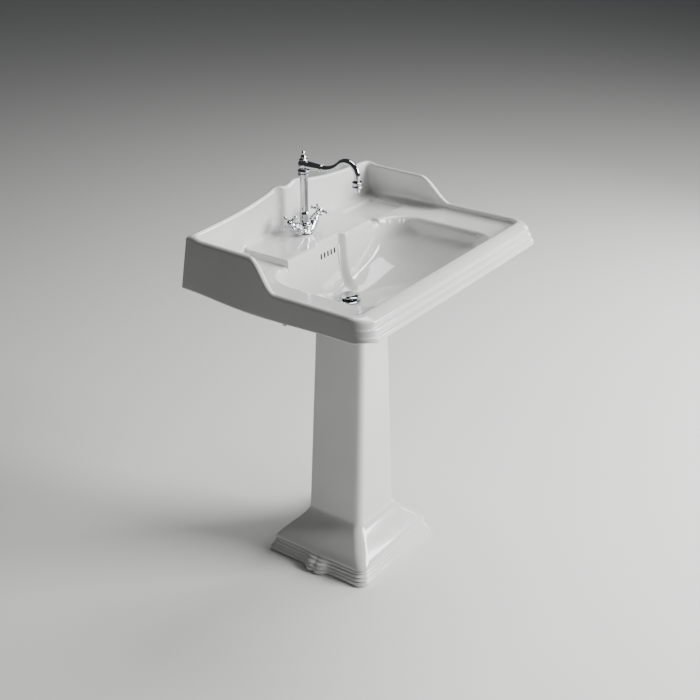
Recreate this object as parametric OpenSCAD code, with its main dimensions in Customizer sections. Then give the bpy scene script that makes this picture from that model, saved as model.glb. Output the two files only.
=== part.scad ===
// Traditional pedestal washbasin with a swan-neck mixer tap, push-button waste,
// bottle trap and supply valves. Millimetres, +Z up, +Y towards the wall.
// The origin is on the floor under the middle of the basin.

/* [Basin] */
// Width of the basin across the bottom of its skirt
basin_w = 730; // [640:5:880]
// Depth of the basin from the wall to the bottom of its moulded front
basin_depth = 500; // [450:5:600]
// Height of the rim above the floor
rim_z = 838; // [690:2:1010]
// Height of the skirt below the rim
skirt_h = 51; // [42:1:62]
// How far the bottom of the moulded front stands out beyond the rim
front_flare = 20; // [14:1:30]
// Thickness of the front lip
lip_t = 28; // [20:1:34]
// Lean of the sides and wings from vertical, in degrees
side_lean = 12; // [8:1:14]
// Thickness of the wings, rim and backsplash
wall_t = 14; // [11:1:17]
// Radius of the front corners in plan
corner_r = 42; // [30:1:60]
// Depth of the side deck below the rim
deck_drop = 20; // [14:1:24]
// Thickness of the deck and of the bowl
shell_t = 12; // [10:1:14]
// Height of the wings above the rim
wing_h = 66; // [55:1:80]
// Distance from the wall at which the wings start to fall
wing_d = 175; // [146:1:210]
// Length over which the wings fall to the rim
wing_fall = 81; // [67:1:97]
// Height of the middle of the backsplash above the wings
bow_h = 35; // [24:1:42]

/* [Tap ledge and soap dishes] */
// Half width of the raised tap ledge
ledge_half_w = 166; // [138:1:180]
// Height of the ledge above the side deck
ledge_h = 8; // [4:1:12]
// Distance from the wall to the front of the ledge
ledge_d = 143; // [130:1:158]
// Half width of the set-back panel that carries the overflow slots
panel_half_w = 50; // [42:1:60]
// How far the panel is set back
panel_set = 14; // [8:1:18]
// Depth of the soap dishes below the side deck
dish_drop = 7; // [4:1:9]
// Distance from the wall to the back of a soap dish
dish_d = 36; // [30:1:44]
// Front-to-back size of a soap dish
dish_len = 90; // [76:1:96]
// Width of the drain notch from a dish into the bowl
notch_w = 26; // [20:1:32]

/* [Bowl] */
// Width of the bowl at the deck
bowl_w = 516; // [430:2:540]
// Depth of the bowl below the side deck
bowl_depth = 132; // [118:1:150]
// Front deck between the bowl and the inside of the lip
front_deck = 17; // [12:1:24]
// Radius of the bowl's front corners in plan
bowl_front_r = 48; // [38:1:58]
// Radius of the bowl's back corners in plan
bowl_back_r = 84; // [70:1:95]
// Distance from the wall to the centre of the drain
drain_d = 193; // [188:1:215]
// Radius of the outlet hole
outlet_r = 23; // [21.5:0.5:26]
// Length of the outlet boss below the bowl floor
boss_h = 38; // [32:1:46]
// Number of overflow slots
slot_count = 5; // [3:1:6]
// Spacing of the overflow slots
slot_pitch = 13; // [11:0.5:15]
// Width of an overflow slot
slot_w = 5; // [4:0.5:6]
// Height of an overflow slot
slot_h = 17; // [14:1:20]

/* [Pedestal] */
// Distance from the wall to the middle of the pedestal
pedestal_d = 203; // [195:1:215]
// Half width of the foot
foot_half_w = 161; // [134:1:190]
// Half depth of the foot
foot_half_d = 148; // [124:1:160]
// Half width of the column where it meets the flare
column_half_w = 80; // [72:1:92]
// Half depth of the column where it meets the flare
column_half_d = 77; // [70:1:88]
// Half width of the column at its top
neck_half_w = 57; // [54:1:66]
// Half depth of the column at its top
neck_half_d = 67; // [62:1:76]
// Height of the flare
flare_h = 125; // [105:1:150]
// Thickness of the pedestal wall
pedestal_t = 12; // [10:1:14]
// Thickness of the seating pads between basin and pedestal
pad_t = 4; // [3:0.5:6]

/* [Tap] */
// Distance from the wall to the tap
tap_d = 62; // [56:1:70]
// Radius of the tap hole in the ledge
tap_hole_r = 17.5; // [15:0.5:20]
// Height of the tap from the ledge to the tip of the finial
tap_h = 200; // [178:1:240]
// Radius of the pillar tube
pillar_r = 9.4; // [7:0.1:11]
// Rise of the two valve barrels above horizontal, in degrees
barrel_rise = 38; // [34:1:42]
// Radius of the valve barrels
barrel_r = 14.5; // [12:0.5:16]
// Distance from the tap centre to the middle of a handle, along its spindle
handle_reach = 74; // [72:1:90]
// Overall diameter of a cross handle
handle_dia = 50; // [44:1:60]
// Radius of the spout tube
spout_r = 7.2; // [5:0.1:8.4]
// Forward reach of the spout from the pillar
spout_reach = 152; // [132:1:184]
// Radius of the swan neck's top bend
neck_r = 28; // [24:1:32]
// Running clearance of the spout and spindles, on the radius
run_gap = 0.05; // [0.02:0.01:0.1]

/* [Waste and trap] */
// Radius of the waste flange
flange_r = 27; // [26:0.5:32]
// Outside radius of the waste body
waste_r = 20.5; // [19:0.5:21]
// Bore radius of the waste body
waste_bore_r = 17.5; // [16:0.5:18]
// Radius of the domed plug
plug_r = 24; // [22:0.5:25.5]
// Travel of the plug between open and closed
plug_travel = 7; // [5:0.5:8]
// Radius of the trap body
trap_r = 30; // [28:0.5:33]
// Height of the trap body
trap_h = 78; // [66:1:94]
// Outside radius of the waste pipe
pipe_r = 16; // [15:0.5:19]

/* [Supply] */
// Distance of each stop valve from the centre line
stop_x = 60; // [54:2:80]
// Height of the stop valves above the floor
stop_z = 640; // [560:5:650]
// Distance from the wall to the stop valve outlets
stop_d = 42; // [38:1:50]
// Outside radius of the supply hoses
hose_r = 5; // [4:0.25:6]

/* [Hidden] */

eps = 0.02;
part_gap = 0.3;
fit_gap = 0.15;
fine = 96;
soft = 32;

// Levels and places worked out from the driving sizes
wall_y = basin_depth / 2;
lean = tan(side_lean);
skirt_z = rim_z - skirt_h;
deck_z = rim_z - deck_drop;
ledge_z = deck_z + ledge_h;
dish_z = deck_z - dish_drop;
wing_z = rim_z + wing_h;
bow_z = wing_z + bow_h;
floor_z = deck_z - bowl_depth;
boss_z = floor_z - boss_h;
under_z = floor_z - shell_t - 2;
neck_z = under_z - pad_t;
rim_half_w = basin_w / 2 - skirt_h * lean;
inner_half_w = rim_half_w - wall_t;
rim_d = basin_depth - front_flare;
inner_front_d = rim_d - lip_t;
bowl_front_d = inner_front_d - front_deck;
panel_d = ledge_d - panel_set;

// Y of a point that lies d in front of the wall
function from_wall(d) = wall_y - d;
function mix(a, b, t) = a + (b - a) * t;
function smooth(t) = t * t * (3 - 2 * t);

module at(x, d, z) translate([x, from_wall(d), z]) children();
module both_sides() { children(); mirror([1, 0, 0]) children(); }
module turned(profile) rotate_extrude($fn = fine) polygon(profile);
module tube(r, bore, h) difference() {
    cylinder(r = r, h = h, $fn = fine);
    translate([0, 0, -1]) cylinder(r = bore, h = h + 2, $fn = fine);
}
module hex_nut(across, bore, h) difference() {
    cylinder(d = across / cos(30), h = h, $fn = 6);
    translate([0, 0, -1]) cylinder(r = bore, h = h + 2, $fn = fine);
}
// Outline in the XZ plane, thick along Y from distance d1 to distance d2
module across_y(d1, d2) translate([0, from_wall(d1), 0]) rotate([90, 0, 0])
    linear_extrude(height = d2 - d1) children();
// Outline in the (distance, Z) plane, thick along X
module along_x(half_w) translate([half_w, wall_y, 0]) rotate([90, 0, -90])
    linear_extrude(height = 2 * half_w) children();
// A thin rounded slab for hulls: half width, distances from the wall, corner radii
module slab(z, half_w, back_d, front_d, back_r, front_r) {
    for (side = [-1, 1]) {
        at(side * (half_w - back_r), back_d + back_r, z) cylinder(r = back_r, h = eps, $fn = soft);
        at(side * (half_w - front_r), front_d - front_r, z) cylinder(r = front_r, h = eps, $fn = soft);
    }
}
// Rounded block made of squares and circles, so that its corners stay round
module block(z, h, half_w, half_d, r) at(0, pedestal_d, z) linear_extrude(height = h) {
    square([2 * half_w, 2 * (half_d - r)], center = true);
    square([2 * (half_w - r), 2 * half_d], center = true);
    for (x = [-1, 1], y = [-1, 1])
        translate([x * (half_w - r), y * (half_d - r)]) circle(r = r, $fn = fine);
}

// ---------------------------------------------------------------- basin
// The front is three mouldings; each steps back from the one below it
moulding_n = 3;
moulding_step = 4;
module basin_skirt() for (i = [0 : moulding_n - 1]) {
    t0 = i / moulding_n;
    t1 = (i + 1) / moulding_n;
    z0 = mix(skirt_z, rim_z, t0);
    z1 = mix(skirt_z, rim_z, t1);
    slope = front_flare - moulding_step * (moulding_n - 1);
    front0 = basin_depth - slope * t0 - moulding_step * i;
    front1 = basin_depth - slope * t1 - moulding_step * i;
    hull() {
        slab(z0, basin_w / 2 - (z0 - skirt_z) * lean, 0, front0, 2, corner_r);
        slab(z1 - eps, basin_w / 2 - (z1 - skirt_z) * lean, 0, front1, 2, corner_r);
    }
}

wing_steps = 12;
wing_edge = [for (i = [0 : wing_steps]) let (t = i / wing_steps)
    [wing_d + wing_fall * t, mix(wing_z - 3, rim_z, smooth(t))]];
// Height of the backsplash: a wide swell with two small humps and a notch between them
function bow(x) = wing_z + bow_h / (1 + pow(x / 125, 2)) - 8 * exp(-pow(x / 18, 2))
    + 3 * exp(-pow((abs(x) - 42) / 20, 2));
bow_steps = 48;
splash_half_w = basin_w / 2 - (wing_z - skirt_z) * lean;
splash_edge = [for (i = [0 : bow_steps]) let (x = mix(splash_half_w, -splash_half_w, i / bow_steps))
    [x, bow(x)]];

// The wings stand on the rim and lean in with the sides
module wing_plan() intersection() {
    along_x(basin_w) polygon(concat([[0, rim_z], [0, wing_z]], wing_edge));
    across_y(0, basin_depth) polygon([[-rim_half_w, rim_z], [rim_half_w, rim_z],
        [splash_half_w, wing_z], [-splash_half_w, wing_z]]);
}
module wing(side) difference() {
    intersection() {
        wing_plan();
        at(side > 0 ? 0 : -basin_w, wing_d + wing_fall + 1, rim_z - 1)
            cube([basin_w, wing_d + wing_fall + 1 - wall_t, 2 * wing_h]);
    }
    above_deck(deck_z, -1, inner_front_d);
}
module left_wing() color("white") wing(-1);
module right_wing() color("white") wing(1);
module backsplash() color("white") across_y(0, wall_t)
    polygon(concat([[-rim_half_w, rim_z], [rim_half_w, rim_z]], splash_edge));

// Everything inside the wings, rim and backsplash, above level z
module above_deck(z, back_d, front_d) {
    foot_half_w = inner_half_w - (rim_z - z);
    across_y(back_d, front_d) polygon([[-foot_half_w, z], [foot_half_w, z],
        [inner_half_w, rim_z], [inner_half_w - (bow_z - rim_z) * lean, bow_z + 1],
        [-inner_half_w + (bow_z - rim_z) * lean, bow_z + 1], [-inner_half_w, rim_z]]);
}

module dish() {
    back_half_w = inner_half_w - (rim_z - dish_z);
    at(0, 0, dish_z) linear_extrude(height = deck_drop) polygon([
        [ledge_half_w, -dish_d], [back_half_w, -dish_d], [back_half_w, -dish_d - dish_len - 8],
        [ledge_half_w + notch_w, -dish_d - dish_len + 4], [ledge_half_w + notch_w, -ledge_d - 40],
        [ledge_half_w, -ledge_d - 40]]);
}

// The bowl narrows from the deck to its floor. Each level is its share of the depth, its share of
// the width, how far its back comes forward, and its share of the way from the drain to the front
bowl_levels = [[1, 1, 0, 1], [0.62, 0.93, 8, 0.82], [0.2, 0.66, 24, 0.45], [0, 0.4, 36, 0.25]];
module bowl(grow, top) hull() for (level = bowl_levels) {
    z = floor_z - grow + (bowl_depth + grow + (level[0] == 1 ? top : 0)) * level[0];
    back_d = ledge_d + level[2] - grow;
    front_d = mix(drain_d + 42, bowl_front_d, level[3]) + grow;
    half_w = bowl_w / 2 * level[1] + grow;
    r = min(bowl_back_r * level[1] + grow, (front_d - back_d) / 2 - 1);
    slab(z, half_w, back_d, front_d, r, min(bowl_front_r + grow, (front_d - back_d) / 2 - 1));
}
// The set-back panel behind the overflow slots
module panel(grow, top) hull() {
    for (side = [-1, 1]) {
        at(side * (panel_half_w + grow - 2), panel_d - grow + 2, deck_z)
            cylinder(r = 2, h = top + eps, $fn = soft);
        at(side * (panel_half_w + grow - 2), drain_d - 20, deck_z)
            cylinder(r = 2, h = top + eps, $fn = soft);
        at(side * (panel_half_w + grow - 12), panel_d + 34 - grow, floor_z + 6 - grow)
            cylinder(r = 2, h = eps, $fn = soft);
        at(side * (panel_half_w + grow - 12), drain_d - 10, floor_z + 6 - grow)
            cylinder(r = 2, h = eps, $fn = soft);
    }
}

overflow_z = deck_z - 32;
overflow_half_w = slot_pitch * (slot_count - 1) / 2 + slot_w / 2 + 2;
overflow_t = 10;
chamber_d = panel_d - 20;
bolt_half = 140;
bolt_r = 7;
bolt_z = skirt_z + 21;
rail_t = 34;

module basin() color("white") difference() {
    union() {
        difference() {
            basin_skirt();
            above_deck(deck_z, wall_t, inner_front_d);
            // Hollow underside of the skirt, behind the front and in front of the rail
            across_y(rail_t, rim_d - wall_t - 6) polygon([
                [-basin_w / 2 + wall_t, skirt_z - 1], [basin_w / 2 - wall_t, skirt_z - 1],
                [rim_half_w - wall_t, dish_z - shell_t], [-rim_half_w + wall_t, dish_z - shell_t]]);
        }
        bowl(shell_t, -1);
        // Raised ledge
        at(-ledge_half_w, ledge_d, deck_z - 1)
            cube([2 * ledge_half_w, ledge_d - wall_t + 1, ledge_h + 1]);
        // Overflow channel on the back of the bowl
        at(-overflow_half_w - 8, drain_d, boss_z + 12)
            cube([2 * overflow_half_w + 16, drain_d - chamber_d + overflow_t + 8, deck_z - boss_z - 20]);
        at(0, drain_d, boss_z) cylinder(r = outlet_r + shell_t, h = boss_h + 6, $fn = fine);
        // Flat seats for the pedestal
        both_sides() at(neck_half_w - 30, pedestal_d + neck_half_d - 2, under_z)
            cube([26, 2 * neck_half_d - 20, 40]);
    }
    bowl(0, 2);
    panel(0, ledge_h + 2);
    both_sides() dish();
    // Floor falls to the outlet
    at(0, drain_d, floor_z - 3 - eps) cylinder(r1 = flange_r + 1, r2 = flange_r + 24, h = 12, $fn = fine);
    at(0, drain_d, boss_z - 1) cylinder(r = outlet_r, h = boss_h + 20, $fn = fine);
    // Tap hole
    at(0, tap_d, deck_z - shell_t - 20) cylinder(r = tap_hole_r, h = shell_t + ledge_h + 30, $fn = fine);
    // Overflow slots, chamber and its way into the outlet
    for (i = [0 : slot_count - 1])
        at((i - (slot_count - 1) / 2) * slot_pitch - slot_w / 2, panel_d + 24, overflow_z - slot_h / 2)
            cube([slot_w, 40, slot_h]);
    at(-overflow_half_w, chamber_d + overflow_t, boss_z + 20)
        cube([2 * overflow_half_w, overflow_t, overflow_z + slot_h - boss_z - 20]);
    at(-overflow_half_w + 8, drain_d, boss_z + 16)
        cube([2 * overflow_half_w - 16, drain_d - chamber_d, 9]);
    // Holes for the wall bolts
    both_sides() at(bolt_half, -1, bolt_z) rotate([90, 0, 0])
        cylinder(r = bolt_r, h = rail_t + 3, $fn = fine);
}

// ---------------------------------------------------------------- pedestal
ridge_n = 3;
ridge_h = 8;
ridge_step = 4;
plate_h = 12;
shoulder_z = plate_h + ridge_n * ridge_h;
function column_w(z) = mix(column_half_w, neck_half_w, (z - flare_h) / (neck_z - flare_h));
function column_d(z) = mix(column_half_d, neck_half_d, (z - flare_h) / (neck_z - flare_h));
module section(z, half_w, half_d, r) slab(z, half_w, pedestal_d - half_d, pedestal_d + half_d, r, r);
// Share of the foot's spread at heights from the shoulder up to the top of the flare
flare = [[0, 0.86], [0.2, 0.7], [0.52, 0.27], [1, 0]];
module flare_section(i) {
    z = mix(shoulder_z, flare_h, flare[i][0]);
    spread = flare[i][1];
    section(z, mix(column_half_w, foot_half_w, spread), mix(column_half_d, foot_half_d, spread), 24);
}
screw_half = 112;
screw_r = 4;
screw_d = pedestal_d - 96;

module pedestal() color("white") difference() {
    union() {
        block(0, plate_h, foot_half_w, foot_half_d, 20);
        for (i = [0 : ridge_n - 1])
            block(plate_h + i * ridge_h - eps, ridge_h + eps, foot_half_w - ridge_step * (i + 0.5),
                foot_half_d - ridge_step * (i + 0.5), 20);
        // Side bosses with a small notch in the middle of each
        both_sides() for (s = [-1, 1])
            at(foot_half_w - 14, pedestal_d + 15 * s, 0) cylinder(r = 30, h = plate_h + ridge_h, $fn = fine);
        for (i = [0 : len(flare) - 2]) hull() {
            flare_section(i);
            flare_section(i + 1);
        }
        hull() {
            section(flare_h, column_half_w, column_half_d, 20);
            section(neck_z - eps, neck_half_w, neck_half_d, 16);
        }
    }
    // Hollow, open at the back from foot to top
    hull() {
        slab(-1, column_half_w + 8, -60, pedestal_d + column_half_d + 4, 2, 16);
        slab(flare_h, column_half_w - pedestal_t, -60, pedestal_d + column_half_d - pedestal_t, 2, 14);
    }
    hull() {
        slab(flare_h - eps, column_half_w - pedestal_t, -60, pedestal_d + column_half_d - pedestal_t, 2, 14);
        slab(neck_z + 1, neck_half_w - pedestal_t, -60, pedestal_d + neck_half_d - pedestal_t, 2, 12);
    }
    // Holes and seats for the floor screws
    both_sides() at(screw_half, screw_d, -1) {
        cylinder(r = screw_r, h = flare_h, $fn = fine);
        translate([0, 0, plate_h + 1]) cylinder(r = 2.4 * screw_r, h = flare_h, $fn = fine);
    }
}

module seating_pads() color("dimgray") both_sides()
    at(neck_half_w - pedestal_t + 1, pedestal_d + neck_half_d - 24, neck_z)
        cube([pedestal_t - 4, 2 * neck_half_d - 56, pad_t]);

// ---------------------------------------------------------------- tap
// Heights in this section are above the ledge
seal_t = 2;
flange_h = 6;
drum_r = 16;
drum_top = 22;
socket_top = 51;
socket_r = 11.5;
spigot_r = 6;
collar_r = 14;
collar_h = 7;
barrel_z0 = -6;
barrel_len = 46;
bonnet_len = 10;
bonnet_r = 12.5;
bonnet_bore = 9;
spindle_r = 4.5;
head_z = tap_h - 33;
swivel_z = tap_h - 52;
head_r = 13;
cone_end = 56;
stud_r = 4;
stud_front = 11;
hose_x = 7;
hose_back = 4;
clamp_r = 24;
foot_r = 20.5;
clamp_z = dish_z - shell_t;
rubber_t = 4;
plate_t = 3;
stud_nut_h = 8;

module on_ledge() at(0, tap_d, ledge_z) children();
module on_barrel(side) on_ledge() translate([0, 0, barrel_z0])
    rotate([0, side * (90 - barrel_rise), 0]) children();

module tap_seal() color("dimgray") on_ledge() tube(foot_r, tap_hole_r - 1, seal_t);

module tap_body() color("silver") difference() {
    union() {
        on_ledge() translate([0, 0, seal_t]) {
            cylinder(r = foot_r, h = 2, $fn = fine);
            translate([0, 0, 2]) cylinder(r1 = foot_r, r2 = drum_r, h = flange_h - 2, $fn = fine);
            cylinder(r = drum_r, h = drum_top - seal_t, $fn = fine);
        }
        intersection() {
            for (side = [-1, 1]) on_barrel(side) cylinder(r = barrel_r, h = barrel_len, $fn = fine);
            on_ledge() translate([-100, -50, seal_t + 1]) cube([200, 100, 100]);
        }
    }
    for (side = [-1, 1]) on_barrel(side) translate([0, 0, barrel_len - 16])
        cylinder(r = bonnet_bore, h = 20, $fn = fine);
    on_ledge() {
        translate([0, 0, drum_top - 6]) cylinder(r = pillar_r, h = 10, $fn = fine);
        translate([0, -stud_front, 0]) cylinder(r = stud_r, h = 12, $fn = fine);
        translate([0, 0, drum_top]) cylinder(r = socket_r + 1.5 + fit_gap, h = 20, $fn = fine);
    }
}

module clamp_plan(t) difference() {
    cylinder(r = clamp_r, h = t, $fn = fine);
    translate([0, -stud_front, -1]) cylinder(r = stud_r + fit_gap, h = t + 2, $fn = fine);
    translate([0, 0, -1]) cylinder(r = hose_x + hose_r + 1.5, h = t + 2, $fn = fine);
    translate([-hose_x - hose_r - 1.5, 0, -1]) cube([2 * (hose_x + hose_r + 1.5), clamp_r + 1, t + 2]);
}
module tap_clamp_rubber() color("dimgray") at(0, tap_d, clamp_z - rubber_t) clamp_plan(rubber_t);
module tap_clamp_plate() color("goldenrod") at(0, tap_d, clamp_z - rubber_t - plate_t)
    clamp_plan(plate_t);
nut_z = clamp_z - rubber_t - plate_t - stud_nut_h;
module tap_nut() color("goldenrod") at(0, tap_d + stud_front, nut_z)
    hex_nut(13, stud_r + fit_gap, stud_nut_h);
module tap_stud() color("goldenrod") at(0, tap_d + stud_front, nut_z - 12)
    cylinder(r = stud_r - 0.01, h = ledge_z + 12 - nut_z + 12, $fn = fine);

module pillar() color("silver") on_ledge() difference() {
    turned([[0, drum_top - 5.9], [pillar_r - 0.05, drum_top - 5.9], [pillar_r - 0.05, drum_top],
        [socket_r + 1.5, drum_top], [socket_r + 1.5, drum_top + 4], [socket_r, drum_top + 5],
        [socket_r, socket_top - 6], [socket_r + 1.5, socket_top - 5], [socket_r + 1.5, socket_top - 2],
        [pillar_r, socket_top], [pillar_r, swivel_z - 9], [collar_r, swivel_z - 7],
        [collar_r, swivel_z - 1], [spigot_r, swivel_z - 1], [spigot_r, swivel_z + 4],
        [spigot_r - 1, swivel_z + 4], [spigot_r - 1, swivel_z + 6], [spigot_r, swivel_z + 6],
        [spigot_r, swivel_z + 12], [0, swivel_z + 12]]);
    translate([0, 0, drum_top - 7]) cylinder(r = spigot_r - 2.5, h = tap_h, $fn = fine);
}
module pillar_oring() color("dimgray") on_ledge() translate([0, 0, swivel_z + 4.1])
    tube(spigot_r, spigot_r - 0.9, 1.8);

// The spout: collar, round head, tapered arm, then a swan neck of two tangent bends. Every second
// piece is thinner by joint_step, so that its end sits inside the next one
joint_step = 0.05;
neck_dx = spout_reach - neck_r - cone_end;
rise_r = (neck_dx * neck_dx - neck_r * neck_r) / (2 * neck_r);
rise_angle = atan2(neck_dx, rise_r);
nozzle_top = head_z - 13;
nozzle_h = 24;
aerator_r = 6.5;
module bend(d, z, r, from_angle, angle, tube_r) rotate([90, 0, -90]) translate([d, z, 0])
    rotate([0, 0, from_angle]) rotate_extrude(angle = angle, $fn = fine)
    translate([r, 0]) circle(r = tube_r, $fn = fine);

module spout() color("silver") on_ledge() difference() {
    union() {
        turned([[0, swivel_z], [collar_r, swivel_z], [collar_r, swivel_z + collar_h - 1],
            [9, swivel_z + collar_h], [9, head_z], [0, head_z]]);
        translate([0, 0, head_z]) sphere(r = head_r, $fn = fine);
        translate([0, 0, head_z]) rotate([90, 0, 0])
            cylinder(r1 = 10.2, r2 = spout_r, h = cone_end, $fn = fine);
        translate([0, -cone_end + 6, head_z]) rotate([90, 0, 0]) cylinder(r = spout_r + 2, h = 5, $fn = fine);
        bend(cone_end, head_z + rise_r, rise_r, -91, rise_angle + 2, spout_r - joint_step);
        bend(spout_reach - neck_r, head_z, neck_r, 0, 90 + rise_angle, spout_r);
        translate([0, -spout_reach, nozzle_top])
            cylinder(r = spout_r - joint_step, h = head_z - nozzle_top + 1, $fn = fine);
    }
    translate([0, 0, swivel_z - 1]) cylinder(r = spigot_r + run_gap, h = 14, $fn = fine);
}
module spout_nozzle() color("silver") on_ledge() translate([0, -spout_reach, nozzle_top - nozzle_h])
    difference() {
        turned([[0, 0], [8, 0], [8, 9], [12, 10], [12, 13], [10.3, 14], [10.3, 20],
            [12, 21], [12, nozzle_h], [0, nozzle_h]]);
        translate([0, 0, -1]) cylinder(r = aerator_r, h = 13, $fn = fine);
    }
module aerator() color("dimgray") on_ledge() translate([0, -spout_reach, nozzle_top - nozzle_h + 1])
    cylinder(r = aerator_r - 0.05, h = 10.9, $fn = fine);
module finial() color("silver") on_ledge() difference() {
    turned([[0, head_z + 8.8], [7.5, head_z + 8.8], [10.5, head_z + 11], [9, head_z + 13], [6, head_z + 14],
        [7, head_z + 17], [5.5, head_z + 21], [3, head_z + 24], [4, head_z + 27], [2.5, tap_h - 1],
        [0, tap_h]]);
    translate([0, 0, head_z]) sphere(r = head_r + 0.02, $fn = fine);
}

module bonnet(side) color("silver") on_barrel(side) difference() {
    union() {
        translate([0, 0, barrel_len - 12]) cylinder(r = bonnet_bore - 0.1, h = 13, $fn = fine);
        translate([0, 0, barrel_len]) cylinder(r = bonnet_r, h = bonnet_len - 3, $fn = fine);
        translate([0, 0, barrel_len]) cylinder(r = bonnet_r - 2, h = bonnet_len, $fn = fine);
    }
    translate([0, 0, barrel_len - 20]) cylinder(r = spindle_r + run_gap, h = 40, $fn = fine);
}
hub_s = barrel_len + bonnet_len + 2;
hub_end = handle_reach + 6;
arm_start = 5;
ball_r = 4.8;
module spindle(side) color("goldenrod") on_barrel(side) translate([0, 0, barrel_len - 11])
    cylinder(r = spindle_r, h = handle_reach - barrel_len + 7, $fn = fine);
module handle(side, turn) color("silver") on_barrel(side) difference() {
    union() {
        turned([[0, hub_s], [7, hub_s], [8.5, hub_s + 4], [6.5, hub_s + 8], [8.6, handle_reach - 5],
            [8.6, handle_reach + 4], [7, hub_end], [0, hub_end]]);
        translate([0, 0, handle_reach]) for (arm = [0 : 90 : 270]) rotate([0, 0, arm + turn]) {
            translate([arm_start, 0, 0]) rotate([0, 90, 0])
                cylinder(r1 = 4, r2 = 3.1, h = handle_dia / 2 - 4 - arm_start, $fn = fine);
            translate([handle_dia / 2 - ball_r, 0, 0]) sphere(r = ball_r, $fn = fine);
        }
    }
    translate([0, 0, hub_s - 1]) cylinder(r = spindle_r + 0.02, h = handle_reach - hub_s - 3, $fn = fine);
}
module cap(side, tint) color(tint) on_barrel(side) translate([0, 0, hub_end])
    turned([[0, 0], [6, 0], [6, 1], [4.5, 2.4], [0, 3]]);

module hot_bonnet() bonnet(-1);
module cold_bonnet() bonnet(1);
module hot_spindle() spindle(-1);
module cold_spindle() spindle(1);
module hot_handle() handle(-1, 60);
module cold_handle() handle(1, 12);
module hot_cap() cap(-1, "white");
module cold_cap() cap(1, "white");

// ---------------------------------------------------------------- waste
seat_z = floor_z - 3;
top_seal_t = 1.5;
flange_t = 3;
flange_top = seat_z + top_seal_t + flange_t;
waste_end = boss_z - 24;
waste_seal_t = 4;
waste_nut_h = 10;
spider_z = flange_top - 26;
cartridge_r = 7;
cartridge_bore = 5;
cartridge_h = 40;
cartridge_z = spider_z + 4 - cartridge_h;
stem_r = 3;
spring_z = cartridge_z + 3;
piston_z = spring_z + 22;
cap_under = flange_top + plug_travel + part_gap;

module on_drain(z) at(0, drain_d, z) children();

module waste_body() color("silver") difference() {
    union() {
        on_drain(seat_z + top_seal_t) cylinder(r = flange_r, h = flange_t - 1, $fn = fine);
        on_drain(flange_top - 1) cylinder(r1 = flange_r, r2 = flange_r - 2, h = 1, $fn = fine);
        on_drain(waste_end) cylinder(r = waste_r, h = flange_top - waste_end - 1, $fn = fine);
    }
    difference() {
        on_drain(waste_end - 1) cylinder(r = waste_bore_r, h = flange_top - waste_end + 2, $fn = fine);
        on_drain(spider_z) {
            cylinder(r = cartridge_r + 4, h = 4, $fn = fine);
            for (arm = [0 : 120 : 240]) rotate([0, 0, arm + 30]) translate([0, -2, 0])
                cube([waste_bore_r + 1, 4, 4]);
        }
    }
    on_drain(spider_z - 1) cylinder(r = cartridge_r, h = 6, $fn = fine);
    on_drain(boss_z + 14) translate([-6, -waste_r - 1, 0]) cube([12, 2 * waste_r + 2, 7]);
}
module waste_top_seal() color("dimgray") on_drain(seat_z) tube(flange_r - 2, waste_r + fit_gap, top_seal_t);
module waste_bottom_seal() color("dimgray") on_drain(boss_z - waste_seal_t)
    tube(outlet_r + 6, waste_r + fit_gap, waste_seal_t);
module waste_nut() color("silver") on_drain(boss_z - waste_seal_t - waste_nut_h)
    hex_nut(2 * (outlet_r + 4), waste_r + fit_gap, waste_nut_h);

module latch_cartridge() color("white") on_drain(cartridge_z) difference() {
    union() {
        cylinder(r = cartridge_r - 0.05, h = cartridge_h, $fn = fine);
        translate([0, 0, cartridge_h]) cylinder(r = cartridge_r + 2, h = 2, $fn = fine);
    }
    translate([0, 0, 3]) cylinder(r = cartridge_bore, h = cartridge_h - 5, $fn = fine);
    translate([0, 0, 3]) cylinder(r = stem_r + run_gap, h = cartridge_h + 2, $fn = fine);
}
// Spring wire as a helix: rings of points along the coil, joined side by side
spring_turns = 6;
spring_r = 3.8;
wire_r = 0.5;
ring_n = 12;
wire_sides = 6;
spring_len = piston_z - spring_z - 2 * wire_r - 0.2;
spring_points = [for (i = [0 : spring_turns * ring_n], j = [0 : wire_sides - 1])
    let (a = 360 * i / ring_n, b = 360 * j / wire_sides, r = spring_r + wire_r * cos(b))
    [r * cos(a), r * sin(a), spring_len * i / (spring_turns * ring_n) + wire_r * sin(b)]];
function sweep_faces(rings, sides) = concat(
    [[for (j = [0 : sides - 1]) j]],
    [for (i = [0 : rings - 2], j = [0 : sides - 1]) let (k = (j + 1) % sides)
        [i * sides + j, (i + 1) * sides + j, (i + 1) * sides + k, i * sides + k]],
    [[for (j = [sides - 1 : -1 : 0]) (rings - 1) * sides + j]]);
module latch_spring() color("gray") on_drain(spring_z + wire_r + 0.1)
    polyhedron(spring_points, sweep_faces(spring_turns * ring_n + 1, wire_sides));

module plug_stem() color("silver") {
    on_drain(piston_z) cylinder(r = stem_r, h = cap_under - piston_z, $fn = fine);
    on_drain(piston_z) cylinder(r = cartridge_bore - 0.4, h = 3, $fn = fine);
}
module plug_cap() color("silver") on_drain(cap_under) difference() {
    turned([[0, -5], [13, -5], [13, 0], [plug_r, 0], [plug_r, 1.5], [plug_r - 2, 3.2], [plug_r - 8, 5],
        [plug_r - 16, 6.2], [0, 6.6]]);
    translate([0, 0, -6]) cylinder(r = stem_r + 0.02, h = 6, $fn = fine);
}
module plug_ring() color("dimgray") on_drain(cap_under - 4.5) tube(waste_bore_r - 0.5, 13.02, 3);

// ---------------------------------------------------------------- trap
trap_axis_top = waste_end - 3;
neck_len = 13;
trap_top = trap_axis_top - 2.5 - neck_len;
trap_bottom = trap_top - trap_h;
trap_wall = 3;
outlet_z = trap_top - 20;
side_neck = 20;
side_end_d = drain_d - trap_r - side_neck;
slip_nut_r = waste_r + 6;
pipe_wall = 1.5;
washer_t = 3;

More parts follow.
